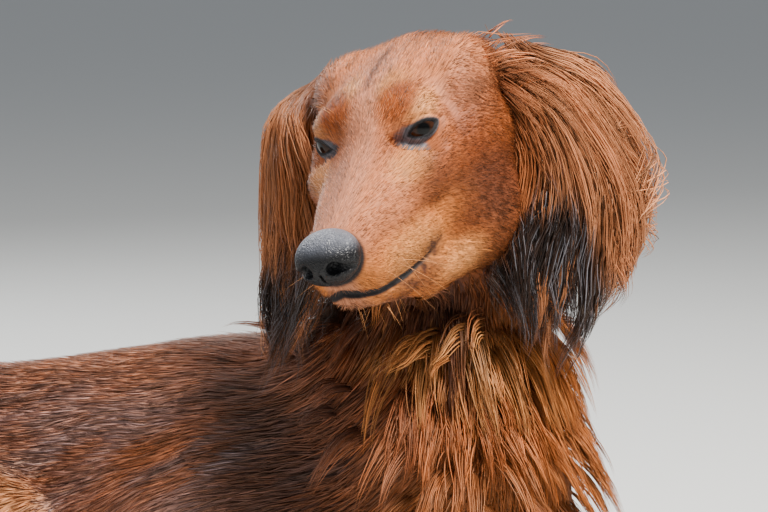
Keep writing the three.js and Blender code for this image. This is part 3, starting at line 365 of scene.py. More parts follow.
tail_path = curve_through([
    (RUMP_X + 26, 0, 104),
    (RUMP_X - 22, 2, 76),
    (RUMP_X - 58, 8, 38),
    (RUMP_X - 106, 18, 8),
    (RUMP_X - 178, 38, 5.2),
    (RUMP_X - TAIL_LENGTH + 12, 64, 3.4),
])
TAIL_STEPS = 10


def tail_radius(t):
    return 20 - 11 * math.sqrt(t) - 5 * t


def tail_piece(i):
    t0, t1 = i / TAIL_STEPS, (i + 1) / TAIL_STEPS
    return cone(tail_path(t0)[0], tail_path(t1)[0], tail_radius(t0), tail_radius(t1))


tail_flesh = blend(4, [tail_piece(i) for i in range(TAIL_STEPS)])


def toe_middles(paw, spread, reach, s):
    return [
        np.array([paw[0] + reach - 3.2 * abs(k), (paw[1] + spread * k) * s, paw[2] - 2])
        for k in (-1.5, -0.5, 0.5, 1.5)
    ]


def paws(s):
    return blend(3, [
        within(
            (paw[0] + 18, paw[1] * s, paw[2]), 30,
            blend(3, [ellipsoid(at, TOE_SIZE) for at in toe_middles(paw, spread, reach, s)]),
        )
        for paw, spread, reach in PAWS
    ])


LEGS = {
    **{f"foreleg_{side}": within((50, 57 * s, 40), 115, foreleg(s)) for side, s in SIDES.items()},
    **{f"hindleg_{side}": within((-250, 75 * s, 50), 105, hindleg(s)) for side, s in SIDES.items()},
}
tail_near = within((RUMP_X - 110, 20, 50), 185, tail_flesh)
head_near = within(from_head((-8, 0, -20)), 118, lambda p: head_flesh(to_head(p)))
PARTS = {"torso": torso_flesh, "neck": neck_flesh, **LEGS, "tail": tail_near, "head": head_near}
body_flesh = blend(16, [blend(34, [torso_flesh, neck_flesh]), *LEGS.values(), tail_near])
all_paws = [paws(1), paws(-1)]


def flesh(p):
    """The surface that the short coat reaches"""
    paw = np.minimum(all_paws[0](p), all_paws[1](p))
    return smooth_min(smooth_min(body_flesh(p), paw, 4), head_near(p), 20)


NORMAL_STEP = 0.4
TETRAHEDRON = np.array([[1, -1, -1], [-1, -1, 1], [-1, 1, -1], [1, 1, 1]], float)


def normal_of(distance, p):
    return unit(sum(k * distance(p + NORMAL_STEP * k)[:, None] for k in TETRAHEDRON))


def onto(distance, p, rounds=3, reach=1.0):
    for _ in range(rounds):
        d = distance(p)[:, None]
        p = p - np.clip(d, -reach, reach) * normal_of(distance, p)
    return p


# How deep the skin lies under the flesh's surface: the depth of the coat
def coat_depth(p):
    face = 0.7 + 0.9 * ramp(-10, -70, to_head(p)[:, 0])
    paw = np.minimum(length(np.abs(p) - FOREPAW), length((p - HINDPAW) * [1, 0, 1]))
    body = 1.6 + 2.2 * ramp(0, 1, np.minimum(p[:, 2] / 40, 1))
    body = 0.9 + (body - 0.9) * ramp(15, 50, paw)
    return body + (face - body) * ramp(34, 4, head_near(p))


def eye_axes(s):
    gaze = unit(mirrored(GAZE, s))
    rise = square_to(gaze, np.array([0, -LID_ROLL * s, 1]))
    return gaze, rise, np.cross(rise, gaze)


def from_eye(q, s):
    return q - np.array(mirrored(EYE_CENTRE, s))


def lid_opening(q, s):
    """The opening between the lids, in the head's frame: a wedge, inside a ball"""
    gaze, rise, _ = eye_axes(s)
    away = from_eye(q, s)
    x = away @ gaze - CANTHUS_DEPTH - LID_CLOSING
    z = away @ rise
    upper = (z - LID_OPENING[0] * x) / math.hypot(1, LID_OPENING[0])
    lower = (LID_OPENING[1] * x - z) / math.hypot(1, LID_OPENING[1])
    ball = length(away) - (EYE_RADIUS + lid_ball - 6)
    return np.maximum(np.maximum(upper, lower), ball)


mouth_curve = curve_through([mirrored(q, -1) for q in MOUTH_LINE[:0:-1]] + MOUTH_LINE)
mouth_points = mouth_curve(np.linspace(0, 1, 49))
mouth_ahead = tangent_of(mouth_curve, np.linspace(0, 1, 49))
mouth_out = unit(columns(mouth_ahead[:, 1], -mouth_ahead[:, 0], 0))
for _ in range(6):
    at = from_head(mouth_points)
    mouth_points = mouth_points - mouth_out * (flesh(at) + coat_depth(at))[:, None]


def along_line(points, q):
    """Distance of each q from a line through points, and how far along it from 0 to 1"""
    best = np.full(len(q), 1e9)
    place = np.zeros(len(q))
    for i, (a, b) in enumerate(zip(points[:-1], points[1:])):
        axis = b - a
        t = np.clip((q - a) @ axis / (axis @ axis), 0, 1)
        d = length(q - a - t[:, None] * axis)
        closer = d < best
        best[closer] = d[closer]
        place[closer] = (i + t[closer]) / (len(points) - 1)
    return best, place


def smooth_max(a, b, k):
    return -smooth_min(-a, -b, k)


def skin_distance(p):
    d = flesh(p) + coat_depth(p)
    q = to_head(p)
    x, y, z = q.T
    face = (np.abs(y) < 45) & (x > -30) & (x < 100) & (np.abs(z + 20) < 50)
    if face.any():
        f, e = q[face], d[face]
        for s in (1, -1):
            opening = lid_opening(f, s)
            thick = length(from_eye(f, s)) - EYE_RADIUS
            e = smooth_max(e, -np.maximum(opening - LID_BEVEL, LID_EDGE - thick), 2.0)
            e = smooth_max(e, -opening, 0.6)
        away, place = along_line(mouth_points, f)
        mouth = away - (0.3 + 0.5 * np.sin(np.pi * np.clip(place, 0.02, 0.98)))
        e = smooth_max(e, -mouth, 1.6)
        d[face] = e
    return d


# The surface of a distance function inside a box, with one vertex in each cell that it crosses.
# It is left open where it meets the box
CORNERS = np.array([[c & 1, (c >> 1) & 1, c >> 2] for c in range(8)])
BLOCK = 6  # cells along a block, which is measured as a whole before its cells are


def lattice(*counts):
    """Every set of whole numbers below some counts, one set a row"""
    return np.indices(counts).reshape(len(counts), -1).T


def surface_net(distance, low, high, cell):
    low = np.array(low, float)
    blocks = np.ceil((np.array(high) - low) / (cell * BLOCK)).astype(int)
    n = blocks * BLOCK + 1
    middles = lattice(*blocks)
    d = distance(low + (middles + 0.5) * BLOCK * cell)
    value = np.ones(n, np.float32)
    for b in middles[d < 0]:
        i, j, k = b * BLOCK
        value[i:i + BLOCK + 1, j:j + BLOCK + 1, k:k + BLOCK + 1] = -1
    near = middles[np.abs(d) < 1.25 * BLOCK * cell]
    inner = (near[:, None] * BLOCK + lattice(*[BLOCK + 1] * 3)).reshape(-1, 3)
    index = np.unique(inner @ [n[1] * n[2], n[2], 1])
    ijk = np.stack(np.unravel_index(index, n), 1)
    value.reshape(-1)[index] = distance(low + ijk * cell)
    inside = value < 0
    corner = [inside[a:n[0] - 1 + a, b:n[1] - 1 + b, c:n[2] - 1 + c] for a, b, c in CORNERS]
    count = sum(c.astype(np.int8) for c in corner)
    cells = np.argwhere((count > 0) & (count < 8))
    number = np.full(n - 1, -1)
    number[tuple(cells.T)] = np.arange(len(cells))
    total, crossings = np.zeros((len(cells), 3)), np.zeros(len(cells))
    for a in range(8):
        for b in range(a + 1, 8):
            if np.abs(CORNERS[a] - CORNERS[b]).sum() != 1:
                continue
            va, vb = (value[tuple((cells + CORNERS[m]).T)] for m in (a, b))
            cross = (va < 0) != (vb < 0)
            t = np.where(cross, va / np.where(cross, va - vb, 1), 0)
            total += np.where(cross[:, None], CORNERS[a] + t[:, None] * (CORNERS[b] - CORNERS[a]), 0)
            crossings += cross
    points = low + (cells + total / crossings[:, None]) * cell
    quads = []
    for axis in range(3):
        ahead, u, w = np.eye(3, dtype=int)[[axis, (axis + 1) % 3, (axis + 2) % 3]]
        here = inside[tuple(slice(0, n[m] - ahead[m]) for m in range(3))]
        there = inside[tuple(slice(ahead[m], n[m]) for m in range(3))]
        edges = np.argwhere(here != there)
        edges = edges[(edges @ u > 0) & (edges @ w > 0)]
        edges = edges[(edges @ u < n @ u - 1) & (edges @ w < n @ w - 1)]
        round_edge = ((0, 0), (1, 0), (1, 1), (0, 1))
        quad = np.stack([number[tuple((edges - x * u - y * w).T)] for x, y in round_edge], 1)
        outward = inside[tuple(edges.T)]
        quads.append(np.where(outward[:, None], quad, quad[:, ::-1]))
    return points, np.concatenate(quads), cells


def triangles_of(quads):
    return np.concatenate([quads[:, [0, 1, 2]], quads[:, [0, 2, 3]]])


# How a triangle is split that has 0, 1, 2 or 3 split edges: 0 to 2 are its corners, 3 to 5 the
# middles of its edges
SPLITS = (
    ([0, 1, 2],),
    ([0, 3, 2], [3, 1, 2]),
    ([0, 1, 4], [0, 4, 5], [5, 4, 2]),
    ([0, 3, 5], [3, 1, 4], [5, 4, 2], [3, 4, 5]),
)


def refined(points, triangles, near):
    """Splits the edges whose two ends are near, and the triangles on them to match"""
    pairs = np.sort(triangles[:, [[0, 1], [1, 2], [2, 0]]], axis=2).reshape(-1, 2)
    edges, place = np.unique(pairs, axis=0, return_inverse=True)
    split = near[edges[:, 0]] & near[edges[:, 1]]
    number = np.where(split, len(points) + np.cumsum(split) - 1, -1)
    middles = points[edges[split]].mean(axis=1)
    m = number[place.reshape(-1)].reshape(-1, 3)
    count = (m >= 0).sum(axis=1)
    found = []
    for k, pieces in enumerate(SPLITS):
        t, e = triangles[count == k], m[count == k]
        first = (e >= 0) if k == 1 else (e < 0) & (k == 2)
        turn = (np.arange(3) + np.argmax(first, axis=1)[:, None]) % 3
        corners = np.concatenate([np.take_along_axis(x, turn, 1) for x in (t, e)], 1)
        found += [corners[:, piece] for piece in pieces]
    return np.concatenate([points, middles]), np.concatenate(found)


# The skin: the head and upper neck in fine cells, the rest in coarser ones, zipped together
SEAM_Z = 188
HEAD_CELL = 1.25
BODY_CELL = 3.2
SEAM_CENTRE = np.array([18, 2])
FINE_AT_EYE = 17
FINE_AT_MOUTH = 5
SKIN_FLOOR = 0.3  # the lowest that the skin comes


def loop_at(points, level):
    ring = np.flatnonzero(np.abs(points[:, 2] - level) < 1e-6)
    way = points[ring, :2] - SEAM_CENTRE
    return ring[np.argsort(np.arctan2(way[:, 1], way[:, 0]))]


def zipped(points, lower, upper):
    """Triangles between two rings that run the same way round"""
    turn = [np.arctan2(*(points[r, :2] - SEAM_CENTRE).T[::-1]) for r in (lower, upper)]
    found = []
    i = j = 0
    while i < len(lower) or j < len(upper):
        next_low = turn[0][i + 1] if i + 1 < len(lower) else turn[0][0] + 2 * math.pi
        next_up = turn[1][j + 1] if j + 1 < len(upper) else turn[1][0] + 2 * math.pi
        a, b = lower[i % len(lower)], upper[j % len(upper)]
        if j >= len(upper) or (i < len(lower) and next_low <= next_up):
            found.append((a, lower[(i + 1) % len(lower)], b))
            i += 1
        else:
            found.append((a, upper[(j + 1) % len(upper)], b))
            j += 1
    return np.array(found)


def make_skin():
    low_z = SEAM_Z - BODY_CELL * BLOCK * math.ceil((SEAM_Z + 8) / (BODY_CELL * BLOCK))
    body = surface_net(skin_distance, (-672, -118, low_z), (150, 126, SEAM_Z - 0.01), BODY_CELL)
    head = surface_net(skin_distance, (-66, -206, SEAM_Z), (92, 62, 322), HEAD_CELL)
    points = []
    for (p, quads, cells), edge in ((body, "top"), (head, "bottom")):
        layer = cells[:, 2]
        rim = layer == (layer.max() if edge == "top" else layer.min())
        if edge == "bottom":
            rim &= p[:, 2] < SEAM_Z + HEAD_CELL
        p = p.copy()
        p[rim, 2] = SEAM_Z - (BODY_CELL / 2 if edge == "top" else -HEAD_CELL / 2)
        moved = onto(skin_distance, p, 3)
        moved[rim, 2] = p[rim, 2]
        points.append(moved)
    joined = np.concatenate(points)
    triangles = [triangles_of(body[1]), triangles_of(head[1]) + len(points[0])]
    lower = loop_at(joined, SEAM_Z - BODY_CELL / 2)
    upper = loop_at(joined, SEAM_Z + HEAD_CELL / 2)
    faces = np.concatenate([*triangles, zipped(joined, lower, upper)])
    q = to_head(joined)
    near = along_line(mouth_points, q)[0] < FINE_AT_MOUTH
    for s in (1, -1):
        near |= length(from_eye(q, s)) < FINE_AT_EYE
    joined, faces = refined(joined, faces, near)
    fresh = np.arange(len(joined)) >= len(q)
    joined[fresh] = onto(skin_distance, joined[fresh], 3)
    joined[:, 2] = np.maximum(joined[:, 2], SKIN_FLOOR)
    return joined, faces


# Meshes
def metres(p):
    return (p + shift) / 1000


def tube_faces(rings, around):
    """Four-sided faces between rings of points, from the rings' and each ring's number of points"""
    i, j = lattice(rings - 1, around).T
    a, b = i * around + j, i * around + (j + 1) % around
    return columns(a, b, b + around, a + around)


def placed(name, data):
    made = bpy.data.objects.new(name, data)
    bpy.context.collection.objects.link(made)
    return made


def mesh_object(name, points, faces, colours=None, maps=None):
    """A mesh from arrays: faces all have the same number of corners"""
    mesh = bpy.data.meshes.new(name)
    corners = np.ascontiguousarray(faces, np.int32).ravel()
    mesh.vertices.add(len(points))
    mesh.vertices.foreach_set("co", metres(points).astype(np.float32).ravel())
    mesh.loops.add(len(corners))
    mesh.loops.foreach_set("vertex_index", corners)
    mesh.polygons.add(len(faces))
    starts = np.arange(0, len(corners), faces.shape[1], dtype=np.int32)
    mesh.polygons.foreach_set("loop_start", starts)
    mesh.update(calc_edges=True)
    mesh.polygons.foreach_set("use_smooth", np.full(len(faces), True))
    if colours is not None:
        layer = mesh.color_attributes.new("Markings", "FLOAT_COLOR", "POINT")
        rgba = np.concatenate([colours, np.ones((len(colours), 1))], 1)
        layer.data.foreach_set("color", rgba.astype(np.float32).ravel())
    for key, uv in (maps or {}).items():
        layer = mesh.uv_layers.new(name=key)
        layer.data.foreach_set("uv", uv.astype(np.float32)[corners].ravel())
    return placed(name, mesh)


def settle(piece, material, nodes=()):
    piece.data.materials.append(material)
    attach(piece, "root")
    if nodes:
        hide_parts(*nodes)


# Colours, as linear values
RED = np.array([0.30, 0.080, 0.020])
ORANGE = np.array([0.48, 0.150, 0.026])
GOLD = np.array([0.56, 0.235, 0.070])
DEEP_ORANGE = np.array([0.20, 0.043, 0.006])
# pale pink-brown: the coat's own colour with a painted sheen, used where light falls on the tops of
# head and back
PINK_BROWN_SHEEN = np.array([0.44, 0.150, 0.060])
EAR_GOLD = np.array([0.53, 0.220, 0.100])
MAUVE = np.array([0.35, 0.142, 0.082])
MAHOGANY = np.array([0.085, 0.028, 0.017])
TAN = np.array([0.52, 0.22, 0.080])
BACK_BROWN = np.array([0.33, 0.135, 0.080])
# painted sheen: the grey of gloss on the flank's coat
FLANK_SHEEN = np.array([0.230, 0.175, 0.175])
BLACK = np.array([0.011, 0.0095, 0.011])
# painted sheen: grey-blue highlights on black hair
BLUE_SHEEN = np.array([0.125, 0.130, 0.150])
NOSE_BLACK = np.array([0.004, 0.004, 0.005])
# painted reflection: a pale grey-blue sheen on the top of the nose
NOSE_TOP_SHEEN = np.array([0.110, 0.116, 0.140])
LID_GREY = np.array([0.135, 0.132, 0.148])
RIM = np.array([0.010, 0.009, 0.010])  # the bare dark skin of lids and lips


def mixed(a, b, amount):
    return a + (b - a) * np.clip(amount, 0, 1)[..., None]


def painted(colour, *layers):
    """A colour under layers, each of another colour and how much of it there is"""
    for paint, amount in layers:
        colour = mixed(colour, paint, amount)
    return colour


def part_weights(p):
    """How much each point belongs to each part of the body, with both limbs of a pair as one"""
    near = {name: shape(p) for name, shape in PARTS.items()}
    least = np.min(list(near.values()), axis=0)
    weights = {name: np.exp(-(d - least) / 7) for name, d in near.items()}
    total = sum(weights.values())
    shares = {name: w / total for name, w in weights.items()}
    for limb in ("foreleg", "hindleg"):
        shares[limb] = shares.pop(f"{limb}_left") + shares.pop(f"{limb}_right")
    return shares


def by_part(p, **values):
    """Values for the parts of the body, mixed by how much each point belongs to them"""
    shares = part_weights(p)
    return sum(value * shares[name][:, None] for name, value in values.items())


def spot(q, centre, radius, soft=0.6):
    return ramp(1 + soft, 1 - soft, length((q - np.asarray(centre, float)) / radius))


HEAD_ROUND, BODY_ROUND = 38, 62  # radii of head and body where the lie is measured


def lie_map(p):
    """Lengths along and across the lie, from fixed axes for each way the coat runs"""
    x, y, z = p.T
    qx, qy, qz = to_head(p).T
    on_head = head_near(p) < 14
    round_head = np.arctan2(qy, qz + 24) * HEAD_ROUND
    round_body = np.arctan2(y, z - 60) * BODY_ROUND
    u = np.where(on_head, -qx, -x - 0.5 * z)
    v = np.where(on_head, round_head, np.abs(round_body) + 0.45 * x)
    return columns(u, v)


def streaks(p, width, seed):
    """Noise drawn out along the lie"""
    u, v = lie_map(p).T
    return noise(columns(u * 0.14, v, 0), width, seed)


def lip_width(q):
    """Half the width of the black band of the lips, which narrows to the corner of the mouth"""
    return 0.7 + 0.8 * ramp(25, 60, q[:, 0])


# The head's colour, with painted shade under the jaw, on the rear cheek and in the forehead's crease,
# and painted sheen on top
def head_markings(p):
    q = to_head(p)
    x, y, z = q.T
    side = np.abs(y)

    def at(*area):
        return spot(columns(x, side, z), *area)

    # painted shade along the middle crease of the forehead
    crease_shade = ramp(2.6, 0.8, np.abs(y + 1)) * ramp(-60, -44, x) * ramp(-6, -18, x)
    mottled = ramp(-0.4, 0.5, noise(q, 2.5, 6))
    # dark at the corner of the mouth: its own dark skin and hair, and painted shade along the
    # underside of the jaw behind it
    corner = np.maximum(at((21, 25, -52), (7, 9, 7), 0.8), at((32, 19, -60), (15, 9, 5), 0.8))
    lips = ramp(1.4, 0, along_line(mouth_points, q)[0] - lip_width(q))
    colour = painted(
        RED,
        # painted sheen: the upper muzzle and the forehead paler and pinker where light falls on them
        # (this layer and the next)
        (PINK_BROWN_SHEEN, 0.85 * ramp(4, 40, x) * ramp(-46, -22, z)),
        (PINK_BROWN_SHEEN, 0.8 * ramp(-10, 6, z) * ramp(-95, -50, x)),
        (ORANGE, 0.75 * ramp(-26, -44, z) * ramp(-40, 0, x)),
        (MAUVE, 0.7 * ramp(11, 5, side) * ramp(-70, -30, x)),
        (GOLD, 0.75 * at((-14, 13, 19), (12, 7, 8))),
        (GOLD, 0.7 * at((-6, 26, 9), (14, 8, 6))),
        (GOLD, 0.6 * at((20, 25, -10), (14, 9, 8))),
        (GOLD, 0.65 * at((36, 19, -46), (24, 12, 11))),
        (DEEP_ORANGE, at((-3, 16.5, 14), (16, 9.5, 10), 0.45)),
        (DEEP_ORANGE, 0.5 * at((9, 12, 0), (9, 5, 9))),
        (MAUVE, 0.6 * at((-30, 38, 2), (18, 10, 12))),
        # painted shade on the rear of the cheek, towards the ear
        (DEEP_ORANGE, 0.85 * at((-32, 40, -34), (26, 18, 34))),
        (MAHOGANY, 0.25 * at((9, 33, -18), (9, 8, 7))),
        # more painted shade on the lower rear cheek, towards the ear and the jaw, in this layer and
        # the next
        (MAHOGANY, 0.65 * at((-26, 40, -44), (24, 14, 20))),
        (DEEP_ORANGE, 0.5 * at((-4, 31, -50), (14, 10, 11))),
        (MAHOGANY, 0.75 * crease_shade),
        (MAHOGANY, 0.35 * ramp(-52, -90, x)),
        # painted shade under the jaw, towards the throat
        (MAHOGANY, 0.45 * ramp(-60, -72, z) * ramp(30, -10, x)),
        (GOLD, 0.6 * at((6, 28, -66), (18, 9, 9))),
        # the mouth corner's dark hair, with painted shade under the jaw
        (MAHOGANY * 0.6, (0.5 + 0.5 * mottled) * corner),
        # painted shade along the lower edge of the jaw
        (MAHOGANY, 0.8 * mottled * at((46, 14, -62), (18, 9, 4), 0.8)),
        (BLACK, (0.35 + 0.6 * ramp(22, 38, x)) * lips),
    )
    patches = 0.5 + 0.5 * noise(q, 17, 3)
    return mixed(colour, colour * [0.66, 0.58, 0.56], 0.75 * ramp(0.45, 0.9, patches))


def markings(p):
    """The colour of skin and coat at a place, with painted shade, shadow and sheen in some places"""
    x, y, z = p.T
    patch = noise(p * [0.5, 1, 1], 22, 7)
    line = streaks(p, 6, 11)
    flank_sheen = ramp(150, 95, z) * ramp(60, -20, x)
    # painted shadow of the head on the shoulder, in black
    shoulder_shadow = ramp(-100, -55, x) * ramp(25, -15, x) * ramp(155, 125, z)
    chest = ramp(-15, 45, x) * ramp(165, 90, z)
    torso = painted(
        BACK_BROWN,
        (RED, 0.2 + 0.5 * patch),
        # painted highlight: the top of the back paler and pinker where light falls on it
        (PINK_BROWN_SHEEN, 0.8 * ramp(-60, -150, x) * ramp(120, 150, z)),
        # painted sheen: grey streaks of gloss, most on the lower flank
        (FLANK_SHEEN, (0.2 + 0.55 * flank_sheen) * ramp(-0.5, 0.7, line)),
        (MAHOGANY, 0.5 * ramp(0.1, 0.8, streaks(p, 4, 12))),
        (BLACK, 0.75 * shoulder_shadow),
        (ORANGE, 0.8 * chest),
        # painted shade under the head on the chest, in dark streaks
        (MAHOGANY, chest * (0.5 + 0.4 * ramp(-0.2, 0.6, line))),
        (TAN, 0.6 * ramp(40, 8, z)),
    )
    neck = painted(
        RED,
        (MAHOGANY, 0.6 * ramp(30, -30, x) + 0.6 * ramp(-0.2, 0.7, line)),
        (ORANGE, 0.35 * ramp(30, 70, x)),
        (GOLD, 0.6 * spot(p * [1, 0, 1], (28, 0, 162), (32, 1, 9))),
        # a dark band under the jaw: partly black hair, partly painted shade under the jaw
        (BLACK, 0.8 * spot(p * [1, 0, 1], (5, 0, 186), (50, 1, 17)) * ramp(-5, -30, y)),
    )
    foreleg = painted(ORANGE, (RED, 0.45 + 0.4 * patch), (MAHOGANY, 0.6 * ramp(60, 105, z)))
    hindleg = painted(
        RED,
        (TAN, 0.75 * ramp(-215, -170, x)),
        (MAHOGANY, 0.7 * ramp(70, 110, z)),
        (ORANGE, 0.5 * ramp(45, 15, z)),
    )
    tail = mixed(RED, MAHOGANY, 0.5 + 0.4 * patch)
    return by_part(
        p, torso=torso, neck=neck, foreleg=foreleg, hindleg=hindleg, tail=tail, head=head_markings(p)
    )


def lid_rim(q, s):
    """How far places are from an eye's opening and how wide the bare rim is there, how much they are
    at its lower side, and how far from the eye"""
    _, rise, side = eye_axes(s)
    away = from_eye(q, s)
    outer = ramp(-6, 3, s * (away @ side))
    inner = 0.7 * ramp(2, 8, -s * (away @ side))
    below = ramp(1.5, -3, away @ rise) * (1 - 0.8 * outer)
    lower = np.maximum(below, inner)
    return lid_opening(q, s), 1.2 + 1.9 * lower, lower, length(away)


def nose_away(q):
    """How far places are from the middle of the nose, where 1 is just clear of it"""
    return length((q - np.array(NOSE_CENTRE)) / (np.array(NOSE_SIZE) + 1))


def skin_markings(p):
    colour = markings(p)
    q = to_head(p)
    face = q[:, 0] > -40
    f = q[face]
    rim, grey = np.zeros(len(f)), np.zeros(len(f))
    for s in (1, -1):
        edge, reach, lower, away = lid_rim(f, s)
        near = ramp(17.5, 15, away)
        wall = 0.5 - 0.6 * lower
        rim = np.maximum(rim, near * ramp(reach + 0.4, reach - 0.4, edge))
        grey = np.maximum(grey, near * (0.3 + 0.7 * lower) * ramp(wall, wall + 0.5, edge))
    lip = ramp(0.8, 0, along_line(mouth_points, f)[0] - lip_width(f))
    lip = lip * (0.5 + 0.5 * ramp(20, 36, f[:, 0]))
    pad = ramp(1.22, 1.05, nose_away(f))
    bare_skin = mixed(RIM, LID_GREY, grey) * (1 + 0.3 * noise(f, 1.2, 9))[:, None]
    colour[face] = mixed(colour[face], bare_skin, np.maximum(np.maximum(rim, 0.9 * lip), pad))
    return colour


def lie_of(p, n):
    """Which way the coat lies at places on the skin, from the skin's normals there"""
    qx, qy, qz = to_head(p).T
    cheek = ramp(10, 40, np.abs(qy))
    head = columns(
        -1,
        np.sign(qy) * 0.25 * ramp(-30, 30, qx),
        -0.15 - 0.55 * cheek * ramp(20, -50, qx) - 0.3 * ramp(-20, -60, qz),
    ) @ HEAD
    x, y, z = p.T
    left = np.where(y > 0, 1.0, -1.0)
    torso = columns(-1, 0.1 * left, -0.15 - 0.75 * ramp(120, 30, z))
    torso = mixed(torso, [0.35, 0, -1.0], ramp(30, 75, x))
    neck = columns(-0.5 + 0.6 * ramp(-10, 50, x), 0, -1)
    up = ramp(40, 70, z)
    foreleg = columns(0.9 - 1.3 * up, 0.12 * left, -0.2 - 0.8 * up)
    shank = ramp(44, 26, z)
    hindleg = columns(-0.8 + 0.3 * shank, 0.15 * left, -0.55 + 0.4 * shank)
    hindleg = mixed(hindleg, [1.0, 0.2, -0.05], ramp(26, 14, z) * ramp(-290, -262, x))
    tail = tangent_of(tail_path, np.clip((RUMP_X + 26 - x) / (TAIL_LENGTH + 14), 0, 1))
    lie = by_part(p, head=head, torso=torso, neck=neck, foreleg=foreleg, hindleg=hindleg, tail=tail)
    return square_to(n, unit(lie))


# Materials
def feed(tree, node, **values):
    """Sets a node's inputs and settings, and links each input whose value is another node's output"""
    for key, value in values.items():
        label = key.replace("_", " ")
        if isinstance(value, bpy.types.NodeSocket):
            tree.links.new(value, node.inputs[label])
        elif label in node.inputs:
            node.inputs[label].default_value = value
        else:
            setattr(node, key, value)
    return node


def add_node(tree, kind, **values):
    return feed(tree, tree.nodes.new(f"ShaderNode{kind}"), **values)


def shader(name, **sockets):
    """A material with one principled shader, whose steady values are set on its own sockets"""
    material = bpy.data.materials.new(name)
    material.use_nodes = True
    tree = material.node_tree
    return material, tree, feed(tree, tree.nodes["Principled BSDF"], **sockets)


def markings_node(tree):
    return add_node(tree, "VertexColor", layer_name="Markings").outputs["Color"]


def tint_markings(tree, principled, pattern, **ranges):
    """The markings as the base colour, made darker and paler by a pattern"""
    change = add_node(tree, "MapRange", Value=pattern, **ranges).outputs["Result"]
    tint = add_node(tree, "VectorMath", operation="SCALE", Vector=markings_node(tree), Scale=change)
    feed(tree, principled, Base_Color=tint.outputs["Vector"])


def add_bump(tree, principled, pattern, strength, distance):
    bump = add_node(tree, "Bump", Strength=strength, Distance=distance, Height=pattern)
    feed(tree, principled, Normal=bump.outputs["Normal"])


def coat_material(name, roughness, variation):
    material, tree, principled = shader(
        name, Roughness=roughness, Specular_IOR_Level=0.36, Specular_Tint=(1, 0.78, 0.56, 1),
    )
    place = add_node(tree, "TexCoord").outputs["Object"]
    fleck = add_node(tree, "TexNoise", Vector=place, Scale=900.0, Detail=2.0).outputs["Fac"]
    tint_markings(tree, principled, fleck, To_Min=1 - variation, To_Max=1 + variation)
    return material


def skin_material():
    """Short flat hair as streaks along the coat's lie, in colour and in bump"""
    material, tree, principled = shader("short_coat", Roughness=0.62, Specular_IOR_Level=0.2)
    lie = add_node(tree, "UVMap", uv_map="Lie").outputs["UV"]
    stretch = add_node(tree, "Mapping", Vector=lie, Scale=(160, 1400, 1)).outputs["Vector"]
    hairs = add_node(tree, "TexNoise", Vector=stretch, Scale=1.0, Detail=3.0, Roughness=0.6)
    hair = hairs.outputs["Fac"]
    tint_markings(tree, principled, hair, From_Min=0.3, From_Max=0.7, To_Min=0.4, To_Max=1.6)
    add_bump(tree, principled, hair, 0.5, 0.0004)
    return material


def nose_material():
    material, tree, principled = shader("nose_leather", Roughness=0.42, Specular_IOR_Level=0.26)
    feed(tree, principled, Base_Color=markings_node(tree))
    place = add_node(tree, "TexCoord").outputs["Object"]
    pebbles = add_node(tree, "TexVoronoi", Vector=place, Scale=750.0, feature="DISTANCE_TO_EDGE")
    add_bump(tree, principled, pebbles.outputs["Distance"], 1.0, 0.0007)
    return material


def eye_material():
    material, tree, principled = shader("eye", Roughness=0.05, IOR=1.38, Specular_IOR_Level=0.28)
    feed(tree, principled, Base_Color=markings_node(tree))
    return material


# Eyes: a ball with an iris, from rings round the line of sight
IRIS_ANGLE = 41
PUPIL_ANGLE = 17
IRIS = np.array([0.030, 0.011, 0.005])
PUPIL = np.array([0.002, 0.002, 0.002])
LIMBUS = np.array([0.006, 0.004, 0.004])
# painted shade: the white of the eye made almost black, for the shade of the lids on it
EYE_WHITE_IN_SHADE = np.array([0.030, 0.021, 0.019])


def make_eye(side, s):
    gaze, rise, across = eye_axes(s)
    rings, around = 49, 64
    polar = np.linspace(0, math.pi, rings)[:, None]
    turn = np.linspace(0, 2 * math.pi, around, endpoint=False)[None]
    way = (
        np.cos(polar)[..., None] * gaze
        + (np.sin(polar) * np.cos(turn))[..., None] * across
        + (np.sin(polar) * np.sin(turn))[..., None] * rise
    )
    radius = EYE_RADIUS * (1 + 0.035 * ramp(math.radians(40), math.radians(20), polar))[..., None]
    points = from_head(np.array(mirrored(EYE_CENTRE, s)) + (way * radius).reshape(-1, 3))
    angle = np.degrees(np.broadcast_to(polar, (rings, around))).reshape(-1)
    spokes = noise(columns(np.cos(turn[0]), np.sin(turn[0]), 0) * 8, 1, 5)
    iris = IRIS * (1 + 0.35 * np.tile(spokes, rings)[:, None])
    colour = painted(
        PUPIL,
        (iris, ramp(PUPIL_ANGLE, PUPIL_ANGLE + 3, angle)),
        (LIMBUS, ramp(IRIS_ANGLE - 5, IRIS_ANGLE, angle)),
        (EYE_WHITE_IN_SHADE, ramp(IRIS_ANGLE + 4, IRIS_ANGLE + 10, angle)),
    )
    return mesh_object(f"eye_{side}_ball", points, tube_faces(rings, around), colour)


# Nose
def nostril(s):
    x, _, z = NOSE_CENTRE
    return blend(2, [
        ellipsoid((x + 11, 7 * s, z - 1), (6, 3.4, 3.4)),
        cone((x + 9, 10 * s, z - 2), (x + 3, 15.5 * s, z - 4), 2.2, 1.5),
    ])


nostrils = [nostril(1), nostril(-1)]


def nose_distance(p):
    q = to_head(p)
    x, _, z = NOSE_CENTRE
    pad = blend(6, [ellipsoid(NOSE_CENTRE, NOSE_SIZE), ellipsoid((x - 4, 0, z + 3), (12, 13, 9))])(q)
    holes = np.minimum(nostrils[0](q), nostrils[1](q))
    groove = np.hypot(q[:, 1], np.maximum(q[:, 2] - (z - 3), 0)) - 0.5
    groove = np.maximum(groove, -(q[:, 0] - x - 2))
    return smooth_max(smooth_max(pad, -holes, 1.2), -groove, 1.0)


